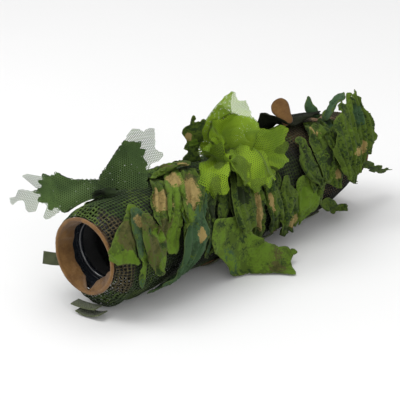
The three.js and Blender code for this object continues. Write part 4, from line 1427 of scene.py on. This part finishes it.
def netting(name, node, slot, material, layers, body=None, seed=1, dark_root=0.35, root_reach=22):
    """Layers of netting in one piece; each layer is (surface, outline, height of its folds, number of
    pleats, lift, painted shade for lying behind the others, width of its strands, its own pitch); the last
    three may be left out. With a body, the piece is attached to it; with none, it is left unattached."""
    all_points, all_uv, all_quads, all_joints, root_shades = [], [], [], [], []
    base, cut_area, length = 0, 0.0, 0.0
    for count, (surface, outline, height, pleats, lift, *extra) in enumerate(layers):
        extra = extra or (0.0, SHEER_STRAND)
        shade_behind, strand, pitch = (*extra, TULLE_PITCH)[:3]
        edge_line = evenly(catmull(outline, len(outline) * 20, closed=True), 1.2, closed=True)
        turn = math.radians(LAYER_TURN * count)
        spin = np.array([[math.cos(turn), -math.sin(turn)], [math.sin(turn), math.cos(turn)]])
        flat, quads, joints = honeycomb(edge_line @ spin, pitch, strand)
        flat = flat @ spin.T
        u, v = flat[:, 0], flat[:, 1]
        edge = np.full(len(u), 20.0)
        stand = ruffle(u, v, edge, seed + count * 7, height, pleats, False) + lift
        all_points.append(clear_of_net(surface.at(u, v, stand), 1.0))
        # painted shade: a layer behind others, and each layer near its root, is darkened through the root
        # mark
        root_shades.append(shade_behind + dark_root * np.clip(1 - v / root_reach, 0, 1))
        all_uv.append(flat + (seed * 53 % 700 + 40 * count, 0))
        all_quads.append(quads + base)
        all_joints.append(joints + base)
        base += len(flat)
        cut_area += flat_area(flat, quads) + flat_area(flat, joints)
        length = max(length, np.ptp(edge_line[:, 1]))
    faces = [np.vstack(all_quads), np.vstack(all_joints)]
    marks = {"root": np.clip(np.concatenate(root_shades), 0, 1)}
    thing = mesh_object(name, np.vstack(all_points), faces, material, np.vstack(all_uv), marks)
    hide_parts(node)
    if body:
        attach(thing, body)
    return thing


FACING = [(0.75, 0.66, 0), (0.75, 0.66, 0)]  # across the line of sight
WING_PITCH = 2.3
WING_STRAND = 1.4
LEFT_WING = Surface([(-19, 38, 111), (-40, 25, 108), (-63, 8, 103), (-84, -10, 101)],
                    [(0, 0.6, 0.8), (0, 0.5, 0.9), (-0.15, 0, 1)])
wing_dense = [(9, -12), (12, 20), (16, 31), (21, 36), (18, 42), (22, 53), (16, 51), (13, 60), (9, 53),
              (4, 62), (0, 55), (-6, 60), (-9, 50), (-16, 50), (-14, 41), (-20, 34), (-15, 21),
              (-10, 4), (-9, -12)]
wing_tip = [(14, 40), (19, 55), (22, 73), (13, 64), (5, 56), (-4, 50), (-4, 36)]
wing_lobes = [(-6, 40), (-17, 36), (-24, 52), (-18, 53), (-10, 50), (-7, 56), (-12, 58), (-16, 63),
              (-13, 69), (-4, 71), (-4, 77), (-8, 83), (-3, 84), (1, 86), (1, 78), (7, 76), (7, 70),
              (4, 57), (6, 44)]
wing = netting("left_wing_tulle", "left_tulle_wing", "dark_tulle", DARK_TULLE,
               [(LEFT_WING, wing_dense, 1.9, 12, 0.0, 0.0, 0.8, WING_PITCH),
                (LEFT_WING, shrunk(wing_dense, 0.98, 0.99), 2.0, 12, 1.2, 0.8, WING_STRAND, WING_PITCH),
                (LEFT_WING, shrunk(wing_dense, 0.97, 0.97), 2.0, 12, 2.4, 0.8, WING_STRAND, WING_PITCH),
                (LEFT_WING, shrunk(wing_dense, 0.96, 0.95), 2.0, 10, 3.4, 0.7, WING_STRAND, WING_PITCH),
                (LEFT_WING, wing_tip, 1.2, 9, -0.8), (LEFT_WING, wing_lobes, 1.2, 9, -1.6)],
               seed=50)
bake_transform(wing)

UP_WING = Surface([(-2, 50, 114), (4, 58, 132), (14, 66, 155), (22, 70, 176)], FACING)
dense_cut = [(-19, -4), (-19, 19), (-18, 38), (-16, 50), (-12, 47), (-9, 52), (-5, 50), (-3, 56),
             (1, 46), (5, 48), (8, 38), (13, 37), (16, 29), (24, 27), (21, 21), (26, 16), (16, 9),
             (3, 0)]
sheer_cut = [(-16, 44), (-16, 60), (-11, 65), (-4, 64), (-1, 69), (5, 70), (10, 59), (13, 52), (21, 50),
             (23, 47), (21, 41), (17, 38), (18, 33), (24, 33), (21, 28), (6, 24), (-6, 34)]
wing = netting("upright_wing_tulle", "upright_tulle_wing", "dark_tulle", DARK_TULLE,
               [(UP_WING, dense_cut, 1.8, 9, 0.0, 0.0, 0.8, WING_PITCH),
                (UP_WING, shrunk(dense_cut, 0.98, 0.99), 1.9, 9, 1.2, 0.8, WING_STRAND, WING_PITCH),
                (UP_WING, shrunk(dense_cut, 0.98, 0.97), 1.9, 9, 2.4, 0.8, WING_STRAND, WING_PITCH),
                (UP_WING, shrunk(dense_cut, 0.97, 0.95), 1.9, 9, 3.4, 0.7, WING_STRAND, WING_PITCH),
                (UP_WING, sheer_cut, 1.1, 7, -1.0)],
               seed=51)
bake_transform(wing)

KNOT = Surface([(-17, 40, 107), (-12, 43, 111), (-6, 47, 110)], ALONG_Y)
knot_cut = [(-8, -4), (7, -5), (9, 4), (8, 14), (1, 19), (-7, 15), (-9, 4)]
netting("tulle_knot_wrap", "tulle_knot", "dark_tulle", DARK_TULLE,
        [(KNOT, knot_cut, 1.6, 7, k * 1.0, 0.5, DENSE_STRAND) for k in range(-2, 3)],
        "sleeve", seed=52, dark_root=0.6, root_reach=30)


def petal(name, surface, outline, layers, seed, **kind):
    """A petal of folded netting: each layer is a little narrower than the last, and is given as for
    netting without its surface and outline."""
    netting(name + "_tulle", name + "_petal", "lime_tulle", LIME_TULLE, [
        (surface, shrunk(outline, 1 - 0.03 * k, 1), *layer) for k, layer in enumerate(layers)
    ], "sleeve", seed=seed, **kind)


LIME_BACK = Surface([(6, 192, 110), (-3, 200, 132), (-6, 208, 155), (-2, 216, 171)], FACING,
                    curl=(-0.03, -0.004))
back_cut = [(-14, -4), (-24, 10), (-21, 24), (-14, 36), (-6, 50), (-2, 60), (2, 68), (11, 62), (18, 65),
            (24, 62), (30, 55), (30, 47), (40, 36), (46, 20), (40, 2), (16, -6)]
full_back = [(u, v) if u < 8 or v < 44 else (u, 44) for u, v in back_cut]
netting("lime_back_tulle", "lime_back_petal", "lime_tulle", LIME_TULLE,
        [(LIME_BACK, back_cut, 1.8, 9, 0.0, 0.0, 0.7),
         (LIME_BACK, [(u, v * 0.985) for u, v in full_back], 2.2, 9, -1.4, 0.1, DENSE_STRAND),
         (LIME_BACK, [(u * 0.98, min(v, 52) * 0.95) for u, v in full_back], 2.4, 10, -2.6, 0.35,
          DENSE_STRAND),
         (LIME_BACK, [(u * 0.98, min(v, 46) * 0.95) for u, v in full_back], 2.4, 10, -3.8, 0.0, 0.7)],
        "sleeve", seed=53, dark_root=0.45, root_reach=34)
RIM_SIDE = [(-0.07, 0.92, -0.37), (-0.07, 0.92, -0.37)]
LIME_BOWL = Surface([(14, 197, 112), (6, 194, 123), (2, 191, 135), (1, 188, 147)], RIM_SIDE,
                    curl=(-0.03, -0.03))
bowl_cut = [(-8, -2), (8, -2), (18, 8), (27, 16), (30, 26), (26, 34), (18, 37), (10, 34), (2, 39),
            (-8, 36), (-16, 40), (-25, 35), (-30, 24), (-26, 12), (-16, 4)]
petal("lime_bowl", LIME_BOWL, bowl_cut,
      [(6.5, 8, 0.0, 0.0, 0.7), (6.5, 9, 1.6, 0.7, DENSE_STRAND), (5.0, 9, 3.0, 0.7, DENSE_STRAND)], 54,
      dark_root=0.95, root_reach=24)
LIME_FRONT = Surface([(16, 195, 112), (36, 197, 114), (49, 192, 103), (57, 187, 86)],
                     [(0, 1, 0), (0, 1, -0.1)], curl=(-0.02, 0.0))
front_cut = [(-10, -2), (10, -2), (22, 9), (29, 18), (26, 29), (33, 40), (26, 49), (19, 47), (14, 58),
             (4, 53), (-5, 61), (-13, 52), (-23, 53), (-27, 41), (-34, 33), (-28, 20), (-20, 9)]
petal("lime_front", LIME_FRONT, front_cut,
      [(8.5, 11, 0.0, 0.7, DENSE_STRAND), (8.5, 11, 1.6, 0.6, DENSE_STRAND), (8.5, 11, 5.0, 0.0, 0.7)],
      55, dark_root=0.9, root_reach=18)
LIME_RIGHT = Surface([(18, 206, 110), (26, 226, 111), (32, 244, 107), (36, 262, 102)],
                     [(-0.49, 0.11, 0.87), (-0.49, 0.11, 0.87)], curl=(0.02, 0.03))
right_cut = [(-10, -2), (6, -2), (14, 8), (22, 18), (19, 30), (25, 42), (20, 52), (10, 50), (3, 57),
             (-6, 52), (-14, 54), (-19, 44), (-27, 36), (-23, 24), (-26, 12), (-18, 4)]
petal("lime_right", LIME_RIGHT, right_cut,
      [(7.0, 9, 0.0, 0.7, DENSE_STRAND), (8.0, 9, 1.4, 0.7, DENSE_STRAND), (8.0, 10, 2.8, 0.0, 0.7)],
      56, dark_root=0.85, root_reach=18)
LIME_LEFT = Surface([(15, 190, 110), (21, 175, 112), (23, 162, 119), (18, 151, 131)],
                    [(0.44, 0.6, -0.66), (0.44, 0.6, -0.66)], curl=(0.03, 0.03))
left_cut = [(-8, -2), (8, -2), (16, 10), (20, 22), (16, 34), (18, 44), (8, 47), (0, 42), (-8, 48),
            (-16, 42), (-20, 32), (-16, 20), (-18, 8)]
LIME_FOLD = Surface([(16, 188, 110), (27, 170, 113), (34, 154, 108), (39, 145, 97), (42, 146, 84)],
                    [(0.6, 0.7, 0.3), (0.3, 0.9, 0)], curl=(-0.02, -0.02))
fold_cut = [(-9, -2), (7, -2), (10, 10), (8, 24), (12, 36), (9, 48), (12, 58), (5, 64), (-2, 60),
            (-7, 68), (-14, 60), (-20, 58), (-17, 46), (-22, 34), (-16, 20), (-17, 8)]
netting("lime_left_tulle", "lime_left_petal", "lime_tulle", LIME_TULLE,
        [(LIME_LEFT, left_cut, 5.5, 8, 0.0, 0.7, DENSE_STRAND),
         (LIME_LEFT, left_cut, 6.5, 9, 1.5, 0.0, 0.7),
         (LIME_FOLD, fold_cut, 8.0, 10, 0.0, 0.7, DENSE_STRAND),
         (LIME_FOLD, fold_cut, 9.0, 10, 1.5, 0.7, DENSE_STRAND),
         (LIME_FOLD, fold_cut, 9.0, 12, 2.8, 0.0, 0.7)],
        "sleeve", seed=57, dark_root=0.8, root_reach=20)
